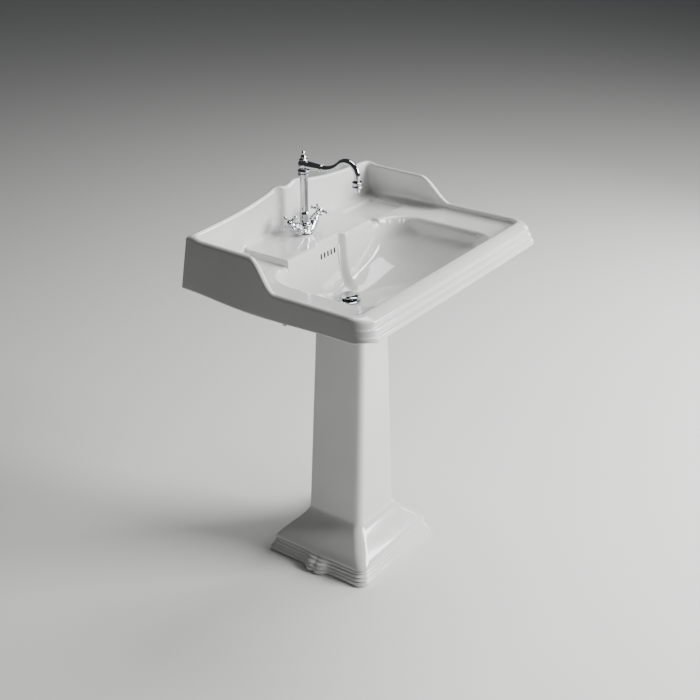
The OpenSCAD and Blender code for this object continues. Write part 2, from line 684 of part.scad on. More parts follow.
module to_wall(d, z) at(0, d, z) rotate([-90, 0, 0]) children();

module trap_top_washer() color("dimgray") on_drain(trap_axis_top) tube(waste_r, waste_bore_r - 2, washer_t);
module trap_inlet() color("silver") on_drain(trap_axis_top - 2.5) difference() {
    union() {
        cylinder(r = waste_r, h = 2.5, $fn = fine);
        translate([0, 0, 30 - trap_h]) cylinder(r = 14, h = trap_h - 29, $fn = fine);
    }
    translate([0, 0, -trap_h]) cylinder(r = 12.5, h = trap_h + 10, $fn = fine);
}
module trap_top_nut() color("silver") on_drain(trap_axis_top - 12)
    tube(slip_nut_r, waste_r + fit_gap, 24);
module trap_body() color("silver") difference() {
    union() {
        on_drain(trap_bottom) cylinder(r = trap_r, h = trap_h, $fn = fine);
        on_drain(trap_top) cylinder(r = waste_r, h = neck_len, $fn = fine);
        to_wall(drain_d - trap_r + 6, outlet_z) cylinder(r = pipe_r + 2, h = side_neck + 6, $fn = fine);
    }
    on_drain(trap_bottom - 1) cylinder(r = trap_r - trap_wall, h = trap_h - trap_wall + 1, $fn = fine);
    on_drain(trap_top - 10) cylinder(r = 14.2, h = neck_len + 12, $fn = fine);
    to_wall(drain_d - trap_r + 12, outlet_z) cylinder(r = pipe_r - pipe_wall, h = side_neck + 20, $fn = fine);
}
module trap_cup_seal() color("dimgray") on_drain(trap_bottom - 2) tube(trap_r, trap_r - trap_wall, 2);
module trap_cup() color("silver") on_drain(trap_bottom - 16) difference() {
    turned([[0, 0], [trap_r - 6, 0], [trap_r + 1, 5], [trap_r + 3, 7], [trap_r + 3, 20], [0, 20]]);
    translate([0, 0, 14]) cylinder(r = trap_r + fit_gap, h = 10, $fn = fine);
    translate([0, 0, 4]) cylinder(r = trap_r - trap_wall, h = 20, $fn = fine);
}
module trap_outlet_washer() color("dimgray") to_wall(side_end_d, outlet_z)
    tube(pipe_r + 2, pipe_r - pipe_wall, washer_t);
module trap_outlet_nut() color("silver") to_wall(side_end_d + 12, outlet_z) difference() {
    cylinder(r = pipe_r + 8, h = 24, $fn = fine);
    translate([0, 0, -1]) cylinder(r = pipe_r + 2 + fit_gap, h = 22, $fn = fine);
    translate([0, 0, -1]) cylinder(r = pipe_r + fit_gap, h = 30, $fn = fine);
}
module outlet_pipe() color("silver") to_wall(side_end_d - washer_t, outlet_z)
    tube(pipe_r, pipe_r - pipe_wall, side_end_d - washer_t);
module outlet_rosette() color("silver") to_wall(9, outlet_z) difference() {
    turned([[0, 0], [pipe_r + 3, 0], [pipe_r + 5, 2], [pipe_r + 7, 5], [pipe_r + 7, 9], [0, 9]]);
    translate([0, 0, -1]) cylinder(r = pipe_r + fit_gap, h = 12, $fn = fine);
}

// ---------------------------------------------------------------- supply
outlet_up = 30;
hose_end_z = stop_z + outlet_up;
hose_rings = 30;
hose_sides = 10;
hose_top = ledge_z + seal_t;
hose_straight = 0.2;
// Centre of a hose at share t of its drop: straight out of the tap, then swinging to its valve
function hose_swing(t) = t < hose_straight ? 0 : smooth(min(1, (t - hose_straight) / 0.72));
function hose_centre(t, side) = [side * mix(hose_x, stop_x, hose_swing(t)),
    from_wall(mix(tap_d - hose_back, stop_d, hose_swing(t))), mix(hose_top, hose_end_z, t)];
function hose_along(t, side) = let (v = hose_centre(min(1, t + 0.01), side)
    - hose_centre(max(0, t - 0.01), side)) v / norm(v);
function hose_ring(t, side) = let (c = hose_centre(t, side), w = hose_along(t, side),
    v = cross(w, [1, 0, 0]) / norm(cross(w, [1, 0, 0])), u = cross(v, w))
    [for (j = [0 : hose_sides - 1]) let (a = 360 * j / hose_sides)
        c + hose_r * (cos(a) * u + sin(a) * v)];
module hose(side) color("gray") polyhedron(
    [for (i = [0 : hose_rings - 1]) each hose_ring(i / (hose_rings - 1), side)],
    sweep_faces(hose_rings, hose_sides));
module hot_hose() hose(-1);
module cold_hose() hose(1);

module at_stop(side) at(side * stop_x, stop_d, stop_z) children();
stop_r = 11;
inlet_r = 8.6;
gland_len = 8;
module hose_nuts() color("silver") for (side = [-1, 1]) at_stop(side)
    translate([0, 0, outlet_up - 14]) difference() {
        cylinder(d = 19 / cos(30), h = 20, $fn = 6);
        translate([0, 0, -1]) cylinder(r = 7 + fit_gap, h = 15, $fn = fine);
        translate([0, 0, -1]) cylinder(r = hose_r + 0.6, h = 30, $fn = fine);
    }
module stop_valve(side) color("silver") difference() {
    union() {
        at_stop(side) rotate([-90, 0, 0]) cylinder(r = stop_r, h = stop_d, $fn = fine);
        at_stop(side) sphere(r = stop_r + 3, $fn = fine);
        at_stop(side) rotate([90, 0, 0]) cylinder(r = stop_r - 1, h = 18, $fn = fine);
        at_stop(side) cylinder(r = 7, h = outlet_up, $fn = fine);
    }
    at(side * stop_x, 14, stop_z) rotate([-90, 0, 0]) cylinder(r = inlet_r, h = 20, $fn = fine);
    at_stop(side) rotate([90, 0, 0]) cylinder(r = 6, h = 20, $fn = fine);
}
module hot_stop() stop_valve(-1);
module cold_stop() stop_valve(1);
module stop_glands() color("silver") for (side = [-1, 1]) at_stop(side) rotate([90, 0, 0])
    translate([0, 0, 18]) difference() {
        cylinder(d = 17 / cos(30), h = gland_len, $fn = 6);
        translate([0, 0, -1]) cylinder(r = 3 + run_gap, h = gland_len + 2, $fn = fine);
    }
module stop_rosettes() color("silver") for (side = [-1, 1])
    at(side * stop_x, 8, stop_z) rotate([-90, 0, 0]) difference() {
        turned([[0, 0], [stop_r + 3, 0], [stop_r + 10, 3], [stop_r + 15, 6], [stop_r + 15, 8], [0, 8]]);
        translate([0, 0, -1]) cylinder(r = stop_r + fit_gap, h = 10, $fn = fine);
    }
module stop_handle(side) color("silver") at_stop(side) rotate([90, 0, 0]) {
    translate([0, 0, 6]) cylinder(r = 3, h = 22 + gland_len, $fn = fine);
    translate([0, 0, 20 + gland_len]) linear_extrude(height = 16) {
        circle(r = 9, $fn = fine);
        for (lobe = [0 : 60 : 300]) rotate(lobe) translate([9, 0]) circle(r = 3.5, $fn = fine);
    }
}
module hot_stop_handle() stop_handle(-1);
module cold_stop_handle() stop_handle(1);

basin();
backsplash();
left_wing();
right_wing();
pedestal();
seating_pads();
tap_seal();
tap_body();
tap_clamp_rubber();
tap_clamp_plate();
tap_stud();
tap_nut();
pillar();
pillar_oring();
spout();
spout_nozzle();
aerator();
finial();
hot_bonnet();
cold_bonnet();
hot_spindle();
cold_spindle();
hot_handle();
cold_handle();
hot_cap();
cold_cap();
waste_body();
waste_top_seal();
waste_bottom_seal();
waste_nut();
latch_cartridge();
latch_spring();
plug_cap();
plug_ring();
plug_stem();
trap_inlet();
trap_top_washer();
trap_top_nut();
trap_body();
trap_cup_seal();
trap_cup();
trap_outlet_washer();
trap_outlet_nut();
outlet_pipe();
outlet_rosette();
hot_hose();
cold_hose();
hose_nuts();
hot_stop();
cold_stop();
stop_glands();
stop_rosettes();
hot_stop_handle();
cold_stop_handle();
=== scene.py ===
# %% [markdown]
# # A pedestal washbasin, made on its CAD frame
# The CAD model fixes every size, hole and joint. This lesson gives each part its real surface:
# thick glazed fireclay with soft edges, polished chrome, rubber and a woven steel hose. Each piece
# is made where the CAD says, and is then tied to the body that it moves with.

# %% Load the frame and keep the CAD box
import bmesh
import bpy
import numpy as np
from math import cos, sin, tan, radians, pi
from mathutils import Matrix, Vector


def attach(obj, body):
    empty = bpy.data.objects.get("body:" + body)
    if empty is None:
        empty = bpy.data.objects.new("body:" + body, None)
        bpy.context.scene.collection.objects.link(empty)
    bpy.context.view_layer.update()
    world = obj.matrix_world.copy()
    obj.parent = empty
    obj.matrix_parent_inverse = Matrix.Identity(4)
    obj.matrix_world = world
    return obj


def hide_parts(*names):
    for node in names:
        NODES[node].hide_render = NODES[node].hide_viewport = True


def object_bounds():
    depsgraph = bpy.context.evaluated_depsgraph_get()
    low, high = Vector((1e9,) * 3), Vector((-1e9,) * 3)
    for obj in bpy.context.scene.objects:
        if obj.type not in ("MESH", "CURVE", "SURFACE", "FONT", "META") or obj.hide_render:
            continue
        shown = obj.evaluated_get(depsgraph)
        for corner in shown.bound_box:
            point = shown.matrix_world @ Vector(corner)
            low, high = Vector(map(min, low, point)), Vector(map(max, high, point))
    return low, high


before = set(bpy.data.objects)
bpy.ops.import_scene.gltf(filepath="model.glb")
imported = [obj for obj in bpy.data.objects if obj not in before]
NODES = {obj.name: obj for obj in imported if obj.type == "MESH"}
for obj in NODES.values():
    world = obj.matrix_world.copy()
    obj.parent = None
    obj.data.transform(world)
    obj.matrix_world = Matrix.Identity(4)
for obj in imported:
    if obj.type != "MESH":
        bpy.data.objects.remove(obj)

scene = bpy.context.scene
cad_box = [list(map(float, corner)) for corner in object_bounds()]
WALL = cad_box[1][1]
print("CAD box in metres:", cad_box)

# %% [markdown]
# ## Measuring from the wall
# A basin maker measures from the wall and from the floor, in millimetres. Two small helpers turn
# "x across, d out from the wall, z up from the floor" into Blender's metres, for one point and
# for whole arrays of points, so that every later number can be read like a drawing.

# %% Places
MM = 0.001

def spot(x, d, z):
    return Vector((x * MM, WALL - d * MM, z * MM))

def places(x, d, z):
    x, d, z = np.broadcast_arrays(x, d, z)
    return np.stack([x * MM, WALL - d * MM, z * MM], axis=-1)

def ease(t):
    t = np.clip(t, 0, 1)
    return t * t * (3 - 2 * t)

def edge(v, soft):
    """0 below -soft, 1 above +soft, and a smooth rise between."""
    return ease(v / (2 * soft) + 0.5)

print("the ledge's back corner is at", spot(0, 0, 826))

# %% [markdown]
# ## Finishes
# Each finish is a node material that reads object coordinates, so it needs no unwrapping and stays
# still when a part turns. Glaze is a white body under a clear coat, with a faint orange peel and
# slow changes of tone where it pooled. Chrome is a mirror whose small changes of roughness are
# wiping marks. Colours that don't vary are set on the shader itself.

# %% A helper that starts a finish
def finish(name, color, rough, metal=0.0, **sockets):
    mat = bpy.data.materials.new(name)
    mat.use_nodes = True
    mat.diffuse_color = (*color, 1)
    bsdf = mat.node_tree.nodes["Principled BSDF"]
    bsdf.inputs["Base Color"].default_value = (*color, 1)
    bsdf.inputs["Roughness"].default_value = rough
    bsdf.inputs["Metallic"].default_value = metal
    for key, value in sockets.items():
        bsdf.inputs[key.replace("_", " ")].default_value = value
    return mat, mat.node_tree, bsdf

def noise(tree, scale, detail=4.0, stretch=(1, 1, 1)):
    nodes, links = tree.nodes, tree.links
    where = nodes.new("ShaderNodeTexCoord")
    fit = nodes.new("ShaderNodeMapping")
    fit.inputs["Scale"].default_value = stretch
    tex = nodes.new("ShaderNodeTexNoise")
    tex.inputs["Scale"].default_value = scale
    tex.inputs["Detail"].default_value = detail
    links.new(where.outputs["Object"], fit.inputs["Vector"])
    links.new(fit.outputs["Vector"], tex.inputs["Vector"])
    return tex.outputs["Fac"]

def spread(tree, value, low, high, start=0.3, end=0.7):
    node = tree.nodes.new("ShaderNodeMapRange")
    for key, number in (("From Min", start), ("From Max", end), ("To Min", low), ("To Max", high)):
        node.inputs[key].default_value = number
    tree.links.new(value, node.inputs["Value"])
    return node.outputs["Result"]

def tint(tree, value, low, high, target):
    node = tree.nodes.new("ShaderNodeMix")
    node.data_type = "RGBA"
    node.inputs[6].default_value = (*low, 1)
    node.inputs[7].default_value = (*high, 1)
    tree.links.new(value, node.inputs[0])
    tree.links.new(node.outputs[2], target)

def bump(tree, value, target, strength, distance):
    node = tree.nodes.new("ShaderNodeBump")
    node.inputs["Strength"].default_value = strength
    node.inputs["Distance"].default_value = distance
    tree.links.new(value, node.inputs["Height"])
    tree.links.new(node.outputs["Normal"], target)

# %% Glaze
glaze, tree, bsdf = finish("glazed fireclay", (0.66, 0.66, 0.65), 0.12, Coat_Weight=0.6,
                           Coat_Roughness=0.04, IOR=1.52)
tint(tree, spread(tree, noise(tree, 5, 3), 0, 1), (0.63, 0.63, 0.615), (0.69, 0.69, 0.68),
     bsdf.inputs["Base Color"])
tree.links.new(spread(tree, noise(tree, 22, 5), 0.08, 0.18), bsdf.inputs["Roughness"])
bump(tree, noise(tree, 60, 2), bsdf.inputs["Normal"], 0.10, 0.0006)
# a near-black material for the deep faces of the slots and bolt holes: painted shade for the dark
# inside each hole
pocket_shade, tree, bsdf = finish("painted pocket shade", (0.035, 0.033, 0.031), 0.8)
tint(tree, spread(tree, noise(tree, 180, 5), 0, 1), (0.02, 0.019, 0.018), (0.05, 0.047, 0.044),
     bsdf.inputs["Base Color"])
bump(tree, noise(tree, 800, 3), bsdf.inputs["Normal"], 0.3, 0.0003)
print("made", glaze.name, "and", pocket_shade.name)

# %% Metals
def metal(name, color, low, high, scale, depth):
    mat, tree, bsdf = finish(name, color, low, 1.0)
    tree.links.new(spread(tree, noise(tree, scale, 6), low, high), bsdf.inputs["Roughness"])
    dull = tuple(c * 0.9 for c in color)
    tint(tree, spread(tree, noise(tree, scale * 0.4, 3), 0, 1), dull, color, bsdf.inputs["Base Color"])
    bump(tree, noise(tree, scale * 6, 2), bsdf.inputs["Normal"], 0.05, depth)
    return mat

chrome = metal("polished chrome", (0.60, 0.61, 0.63), 0.03, 0.09, 45, 0.00015)
brass = metal("cast brass", (0.72, 0.53, 0.25), 0.22, 0.42, 90, 0.0004)
steel = metal("drawn steel", (0.62, 0.62, 0.61), 0.18, 0.34, 120, 0.0002)
print("made", chrome.name, brass.name, steel.name)

# %% Rubber and plastics
rubber, tree, bsdf = finish("black rubber", (0.02, 0.02, 0.021), 0.62)
tree.links.new(spread(tree, noise(tree, 160, 4), 0.5, 0.75), bsdf.inputs["Roughness"])
bump(tree, noise(tree, 700, 3), bsdf.inputs["Normal"], 0.25, 0.0003)
porcelain, tree, bsdf = finish("white index porcelain", (0.82, 0.82, 0.80), 0.1, Coat_Weight=0.5)
tree.links.new(spread(tree, noise(tree, 90, 4), 0.06, 0.16), bsdf.inputs["Roughness"])
bump(tree, noise(tree, 250, 2), bsdf.inputs["Normal"], 0.06, 0.0003)
grey_plastic, tree, bsdf = finish("grey moulded plastic", (0.16, 0.16, 0.165), 0.45)
tree.links.new(spread(tree, noise(tree, 140, 5), 0.38, 0.56), bsdf.inputs["Roughness"])
bump(tree, noise(tree, 900, 2), bsdf.inputs["Normal"], 0.15, 0.0002)
print("made", rubber.name, porcelain.name, grey_plastic.name)

# %% [markdown]
# ## Mesh helpers
# Three ways of making a surface cover almost everything here: a grid of points joined by faces,
# an outline turned about an axis (a lathe), and a round section carried along a path (a sweep).
# Corners of a turned outline are rounded first, because a real casting has no knife edges and the
# small radius is what catches the light.

# %% Grids and mesh objects
def grid_faces(rows, cols, around=False, start=0):
    i = np.arange(rows - 1)[:, None]
    j = np.arange(cols if around else cols - 1)[None, :]
    k = (j + 1) % cols
    quads = np.stack([i * cols + j, i * cols + k, (i + 1) * cols + k, (i + 1) * cols + j], axis=-1)
    return (quads.reshape(-1, 4) + start).tolist()

def new_piece(name, verts, faces, material, tidy=True):
    mesh = bpy.data.meshes.new(name)
    mesh.from_pydata([tuple(v) for v in np.asarray(verts, float).reshape(-1, 3)], [], faces)
    if tidy:
        work = bmesh.new()
        work.from_mesh(mesh)
        bmesh.ops.remove_doubles(work, verts=work.verts, dist=1e-6)
        bmesh.ops.recalc_face_normals(work, faces=work.faces)
        work.to_mesh(mesh)
        work.free()
    mesh.shade_smooth()
    mesh.materials.append(material)
    obj = bpy.data.objects.new(name, mesh)
    scene.collection.objects.link(obj)
    print(f"{name}: {len(mesh.polygons)} faces")
    return obj

# %% Turned shapes
def rounded(outline, radius, steps=4):
    """The outline with each inner corner replaced by a short curve of about that radius."""
    pts = [np.array(p, float) for p in outline]
    out = [pts[0]]
    for a, b, c in zip(pts, pts[1:], pts[2:]):
        r = min(radius, 0.45 * np.linalg.norm(b - a), 0.45 * np.linalg.norm(c - b))
        start, end = b + (a - b) / np.linalg.norm(a - b) * r, b + (c - b) / np.linalg.norm(c - b) * r
        for t in np.linspace(0, 1, steps + 1):
            out.append((1 - t) ** 2 * start + 2 * t * (1 - t) * b + t * t * end)
    return out + [pts[-1]]

def lathe(outline, to_frame, radius=0.8, sides=72):
    """Turn a (radius, height) outline in millimetres about the local Z axis of to_frame."""
    angle = np.linspace(0, 2 * pi, sides, endpoint=False)
    rings = [[(r * cos(a), r * sin(a), z) for a in angle] for r, z in rounded(outline, radius)]
    verts = np.array(rings, float).reshape(-1, 3) * MM
    verts = np.array([to_frame @ Vector(v) for v in verts])
    return verts, grid_faces(len(rings), sides, around=True)

def joined(*shapes):
    verts, faces, start = [], [], 0
    for v, f in shapes:
        verts.append(v)
        faces += [[i + start for i in face] for face in f]
        start += len(v)
    return np.concatenate(verts), faces

# %% Sweeps
def sweep(path, radii, sides=32, capped=True):
    """A round section carried along points in millimetres (x, d, z)."""
    pts = np.array([spot(*p) for p in path])
    radii = np.broadcast_to(radii, len(pts))
    along = np.gradient(pts, axis=0)
    along /= np.linalg.norm(along, axis=1)[:, None]
    u = np.cross(along[0], [1.0, 0.0, 0.0])
    rings = []
    for p, w, r in zip(pts, along, radii):
        u = u - w * (u @ w)
        u /= np.linalg.norm(u)
        v = np.cross(w, u)
        rings.append([p + r * MM * (cos(a) * u + sin(a) * v)
                      for a in np.linspace(0, 2 * pi, sides, endpoint=False)])
    faces = grid_faces(len(rings), sides, around=True)
    if capped:
        faces += [list(range(sides)), list(range((len(rings) - 1) * sides, len(rings) * sides))]
    return np.array(rings).reshape(-1, 3), faces

# %% [markdown]
# ## The inside of the basin
# Seen from above, the ledge, soap dishes and bowl are one skin of glaze that never folds under
# itself, so a height rule over the plan describes all of it: the deck, plus the ledge, minus the
# dishes, cut by the bowl, whose back wall is set back in the middle for the overflow. A grid whose
# lines crowd together at the steps then samples the rule. The shading normals come from the rule's
# own slope, which keeps the steep bowl walls smooth where the grid is stretched.

# %% Sizes of the basin, in millimetres
RIM, DECK, LEDGE, DISH, FLOOR = 838, 818, 826, 811, 686
LEDGE_X, BOWL_BACK, BOWL_FRONT, BOWL_X = 166, 143, 431, 258
DRAIN_D, PANEL_D = 193, 129
LIP = 9
LEAN = tan(radians(12))

def half_width(z):
    return 365 - np.maximum(z - 787, 0) * LEAN

# %% The height rule
def deck_height(x, d):
    ax = abs(x)
    ledge = (LEDGE - DECK) * edge(LEDGE_X - ax, 2.4) * edge(170 - d, 8)
    dish_front = 122 + np.maximum(ax - 192, 0) * 0.1
    dish = edge(ax - LEDGE_X, 2.4) * edge(311 - ax, 5) * edge(d - 37, 4) * edge(dish_front - d, 4)
    notch = edge(ax - LEDGE_X, 2.4) * edge(192 - ax, 4) * edge(d - 90, 4) * edge(200 - d, 4)
    return DECK + ledge - (DECK - DISH) * np.maximum(dish, notch)

def bowl_outline(x, d, t, grow=0.0):
    """Distance outside the bowl's outline at t, which is 0 at the floor and 1 at the deck."""
    open_up = 1 - np.clip(1 - t, 0, 1) ** 3
    half_w = BOWL_X * (0.34 + 0.60 * open_up + 0.06 * t) + grow
    back = BOWL_BACK + 16 * (1 - np.minimum(t, 1)) ** 2 - 4 * (t - 1) - grow
    front = 284 + (BOWL_FRONT - 284) * (0.96 * (1 - np.clip(1 - t, 0, 1) ** 1.7) + 0.04 * t) + grow
    middle, half_d = (back + front) / 2, (front - back) / 2
    corner = np.minimum(np.where(d < middle, 56 + 28 * open_up, 64 - 12 * open_up), half_d - 2)
    over_x = abs(x) - half_w + corner
    over_d = abs(d - middle) - half_d + corner
    outside = np.hypot(np.maximum(over_x, 0), np.maximum(over_d, 0))
    return outside + np.minimum(np.maximum(over_x, over_d), 0) - corner

def bowl_height(x, d, grow=0.0):
    low, high = np.zeros(np.shape(x)), np.full(np.shape(x), 1.6)
    for _ in range(26):
        t = (low + high) / 2
        outside = bowl_outline(x, d, t, grow) > 0
        low, high = np.where(outside, t, low), np.where(outside, high, t)
    away = np.hypot(x, d - DRAIN_D)
    floor = FLOOR - grow - 3 + 3 * ease((away - 33) / 60)
    return floor + (DECK - FLOOR + grow) * low

def recess(x, d):
    """How far the middle of the bowl's back wall is set back, for the overflow."""
    return (BOWL_BACK - PANEL_D) * (1 - ease((abs(x) - 38) / 20)) * (1 - ease((d - 150) / 60))

def soft_min(a, b, blend):
    """The lower of two heights, with the crease between them filled by a fillet."""
    share = np.clip(0.5 + 0.5 * (b - a) / blend, 0, 1)
    return b * (1 - share) + a * share - blend * share * (1 - share)

def inside_height(x, d):
    set_back = d + recess(x, d)
    near = bowl_outline(x, set_back, np.ones(np.shape(x)))
    fall = LIP - np.sqrt(np.maximum(LIP ** 2 - np.clip(LIP - near, 0, LIP) ** 2, 0))
    return np.minimum(deck_height(x, d) - fall, bowl_height(x, set_back))

def worn_share(x, d):
    """Where the bowl may be smoothed: away from its edge and from the seat of the waste."""
    near = bowl_outline(x, d + recess(x, d), np.ones(np.shape(x)))
    return ease((-near - 9) / 16) * ease((np.hypot(x, d - DRAIN_D) - 30) / 14)

print("the drain seat is at height", float(inside_height(np.array([0.0]), np.array([193.0]))[0]))

# %% Grid lines that crowd together at the steps
def crowded(start, end, coarse, fine, zones):
    line, where = [start], start
    while where < end:
        near = min((max(a - where, where - b, 0) for a, b in zones), default=99)
        where += fine + (coarse - fine) * min(1.0, near / 8)
        line.append(min(where, end))
    return np.array(line)

half_x = crowded(0, 318, 3.0, 1.1, [(36, 60), (162, 170), (188, 196), (250, 268), (304, 316)])
across = np.concatenate([-half_x[:0:-1], half_x])
deep = crowded(16, 446, 2.8, 1.1, [(16, 18), (33, 41), (118, 150), (424, 444)])
X, D = np.meshgrid(across, deep)
Z, share, step = inside_height(X, D), worn_share(X, D), 0.5
slope_x = (inside_height(X + step, D) - inside_height(X - step, D)) / (2 * step)
slope_d = (inside_height(X, D + step) - inside_height(X, D - step)) / (2 * step)

# %% Wear the creases of the bowl smooth
def between(z, line, axis):
    """The height that a straight line between a point's two neighbours would have."""
    gap = np.diff(line)
    part = gap[1:] / (gap[:-1] + gap[1:])
    part = part[:, None] if axis == 0 else part[None, :]
    first, last = (z[:-2], z[2:]) if axis == 0 else (z[:, :-2], z[:, 2:])
    return first * part + last * (1 - part)

for _ in range(160):
    middle = (between(Z, deep, 0)[:, 1:-1] + between(Z, across, 1)[1:-1]) / 2
    Z[1:-1, 1:-1] += share[1:-1, 1:-1] * (middle - Z[1:-1, 1:-1])
worn_d, worn_x = np.gradient(Z, deep, across)
slope_x, slope_d = slope_x + share * (worn_x - slope_x), slope_d + share * (worn_d - slope_d)
normal = np.stack([-slope_x, slope_d, np.ones(X.shape)], axis=-1)
normal /= np.linalg.norm(normal, axis=-1)[..., None]
inside = new_piece("basin_inside", places(X, D, Z), grid_faces(*X.shape), glaze, tidy=False)
if inside.data.polygons[0].normal.z < 0:
    inside.data.flip_normals()
keep = inside.data.attributes.new("cast_normal", "FLOAT_VECTOR", "POINT")
keep.data.foreach_set("vector", normal.reshape(-1))
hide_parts("basin")
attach(inside, "stand")

# %% Open the outlet under the waste's flange
work = bmesh.new()
work.from_mesh(inside.data)
mouth = [f for f in work.faces
         if (f.calc_center_median().xy - spot(0, DRAIN_D, 0).xy).length < 21.5 * MM]
bmesh.ops.delete(work, geom=mouth, context="FACES")
work.to_mesh(inside.data)
work.free()
print("the outlet is open,", len(mouth), "faces removed")

# %% [markdown]
# ## The rim, wings, backsplash and skirt
# These are walls: one cross-section that travels round the basin while its height changes. The
# section runs from inside the skirt, round its foot, up the mouldings, over the top edge, down the
# inner face and through a cove on to the deck. Rings of points, one for each step of the section,
# are joined into a strip. At the front the section also steps out three times, and these mouldings
# die away round the corners, as they do when a plaster mould is run and then blended by hand.

# %% Heights of the walls
TOP_R = 7

def bow(x):
    return 904 + 35 / (1 + (x / 125) ** 2) - 8 * np.exp(-(x / 18) ** 2) \
        + 3 * np.exp(-((abs(x) - 42) / 20) ** 2)

UNDER = 799

def wall_top(x, d):
    wing = 904 - 3 * np.clip(d / 175, 0, 1)
    wing = wing + (RIM - wing) * ease((d - 175) / 81)
    return bow(x) + (wing - bow(x)) * ease((d - 14) / 30)

def skirt_foot(d, front):
    side = 793 - 11 * ease(d / 210) + 5 * ease((d - 210) / 200)
    return side * (1 - front) + 787 * front + 16 * front * (1 - front)

def face(z, front):
    """Distance from the wall of the front: plain, or with three beads that step back going up."""
    u = 3 * np.clip((z - 787) / (RIM - TOP_R - 787), 0, 1)
    bead = np.minimum(np.floor(u), 2)
    t = u - bead
    beaded = 500 - 6.2 * bead - 2.4 * np.clip((t - 0.45) / 0.5, 0, 1) ** 2 \
        - 3.8 * ease((t - 0.86) / 0.14) - 1.6 * np.clip((0.3 - t) / 0.3, 0, 1) ** 2
    return (500 - 6.2 * u) * (1 - front) + beaded * front

# %% The path round the basin
def stretch(kind, t, side=0):
    """Columns: shares of half width, front corner and back corner in x; of the back, back corner,
    front and front corner in d; and how far this point belongs to the front."""
    o, one = np.zeros(len(t)), np.ones(len(t))
    c, s = 1 - np.cos(t * pi / 2), 1 - np.sin(t * pi / 2)
    rows = {
        "back": (t, o, -t, one, o, o, o, o),
        "back corner": (side * one, o, -side * c, one, s, o, o, o),
        "side": (side * one, o, o, 1 - t, 1 - t, t, -t, o),
        "front corner": (side * one, -side * c, o, o, o, one, -s, ease(t)),
        "front": (t, -t, o, o, o, one, o, one),
    }[kind]
    return np.stack(rows, axis=-1)

def span(a, b, n):
    return np.linspace(a, b, n + 2)[1:-1]

path = np.concatenate([
    stretch("back", np.linspace(-1, 1, 190)),
    stretch("back corner", span(1, 0, 7), 1), stretch("side", np.linspace(0, 1, 120), 1),
    stretch("front corner", span(0, 1, 14), 1), stretch("front", np.linspace(1, -1, 100)),
    stretch("front corner", span(1, 0, 14), -1), stretch("side", np.linspace(1, 0, 120), -1),
    stretch("back corner", span(0, 1, 7), -1)])
ON_FRONT = path[:, 7]

def outline(z, inset, front_r, back_r):
    """Points of the path at heights z; inset is how far inside at the side, front and back."""
    hw = half_width(z) - inset[0]
    front = face(np.minimum(z, RIM - TOP_R), ON_FRONT) - inset[1]
    x = path[:, 0] * hw + path[:, 1] * front_r + path[:, 2] * back_r
    d = path[:, 3] * inset[2] + path[:, 4] * back_r + path[:, 5] * front + path[:, 6] * front_r
    return x, d

def wall_ring(rise, inset, front_r=42.0, back_r=2.5):
    z = np.full(len(path), float(RIM))
    for _ in range(3):
        x, d = outline(z, inset, front_r, back_r)
        z = rise(wall_top(x, d), skirt_foot(d, ON_FRONT), deck_height(x, d))
    return places(x, d, z)

print("the path has", len(path), "points")

# %% The section: skirt foot, outer face, rounded top, inner face, cove
THICK = np.array([14.0, 29.0, 14.0])
COVE = np.array([26.0, 9.0, 9.0])
COVE_H = 20 - 11 * path[:, 3] * (abs(path[:, 0]) < 1)
rings = []
rings.append(wall_ring(lambda top, foot, deck: foot * 0 + UNDER + 1.5, np.full(3, 12.0)))
for inset, up in ((12, 4), (10.5, 1), (8, 0), (4, 0), (1.2, 1)):
    rings.append(wall_ring(lambda top, foot, deck: foot + up, np.full(3, float(inset))))
for share in np.linspace(0, 1, 46):
    rings.append(wall_ring(lambda top, foot, deck: foot + 3 + (top - TOP_R - foot - 3) * share,
                           np.zeros(3)))
for angle in np.linspace(0, pi, 17)[1:]:
    over = (1 - cos(angle)) / 2
    # the sides have a round top; the front lip climbs slowly and turns down at its inner edge
    slow = (1 - over / 0.86) ** 1.7 if over < 0.86 else 0.8 * ((over - 0.86) / 0.14) ** 2
    drop = (1 - sin(angle)) * (1 - ON_FRONT) + slow * ON_FRONT
    rings.append(wall_ring(lambda top, foot, deck: top - TOP_R * drop,
                           THICK * over, 42 - 16 * over, 2.5 + 12 * over))

def above_cove(top, deck):
    return np.minimum(COVE_H, top - TOP_R - deck)

for share in np.linspace(0, 1, 12)[1:]:
    rings.append(wall_ring(
        lambda top, foot, deck: top - TOP_R - (top - TOP_R - deck - above_cove(top, deck)) * share,
        THICK, 26, 14.5))
for angle in np.linspace(0, pi / 2, 12)[1:]:
    rings.append(wall_ring(lambda top, foot, deck: deck + above_cove(top, deck) * (1 - sin(angle)),
                           THICK + COVE * (1 - cos(angle)), 26 + 8 * (1 - cos(angle)),
                           14.5 + 12 * (1 - cos(angle))))
rings.append(wall_ring(lambda top, foot, deck: deck - 0.8, THICK + COVE + 3, 34, 27))
walls = new_piece("basin_walls", np.array(rings).reshape(-1, 3),
                  grid_faces(len(rings), len(path), around=True), glaze)
if walls.data.polygons[(len(path) * 20) + 10].normal.y < 0:
    walls.data.flip_normals()
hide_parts("backsplash", "left_wing", "right_wing")
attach(walls, "stand")

# %% [markdown]
# ## The underside
# A basin is cast hollow: from below it shows the outside of the bowl, the overflow channel down
# its back, two flat pads that rest on the pedestal, and a boss for the waste. The same bowl rule,
# grown by the thickness of the clay, gives the outside of the bowl, so both skins always agree.

# %% The underside as a second height rule
CLAY, BOSS = 12, 648

def under_height(x, d):
    rail = np.where(d < 34, 790.0, UNDER)
    shell = soft_min(rail, bowl_height(x, d, CLAY), 8)
    channel = (abs(x) < 38.5) & (d > 91) & (d < DRAIN_D)
    pads = (abs(x) > 27) & (abs(x) < 53) & (d > 154) & (d < 268)
    shell = np.where(channel, np.minimum(shell, 660), shell)
    return np.where(pads, np.minimum(shell, 670), shell)

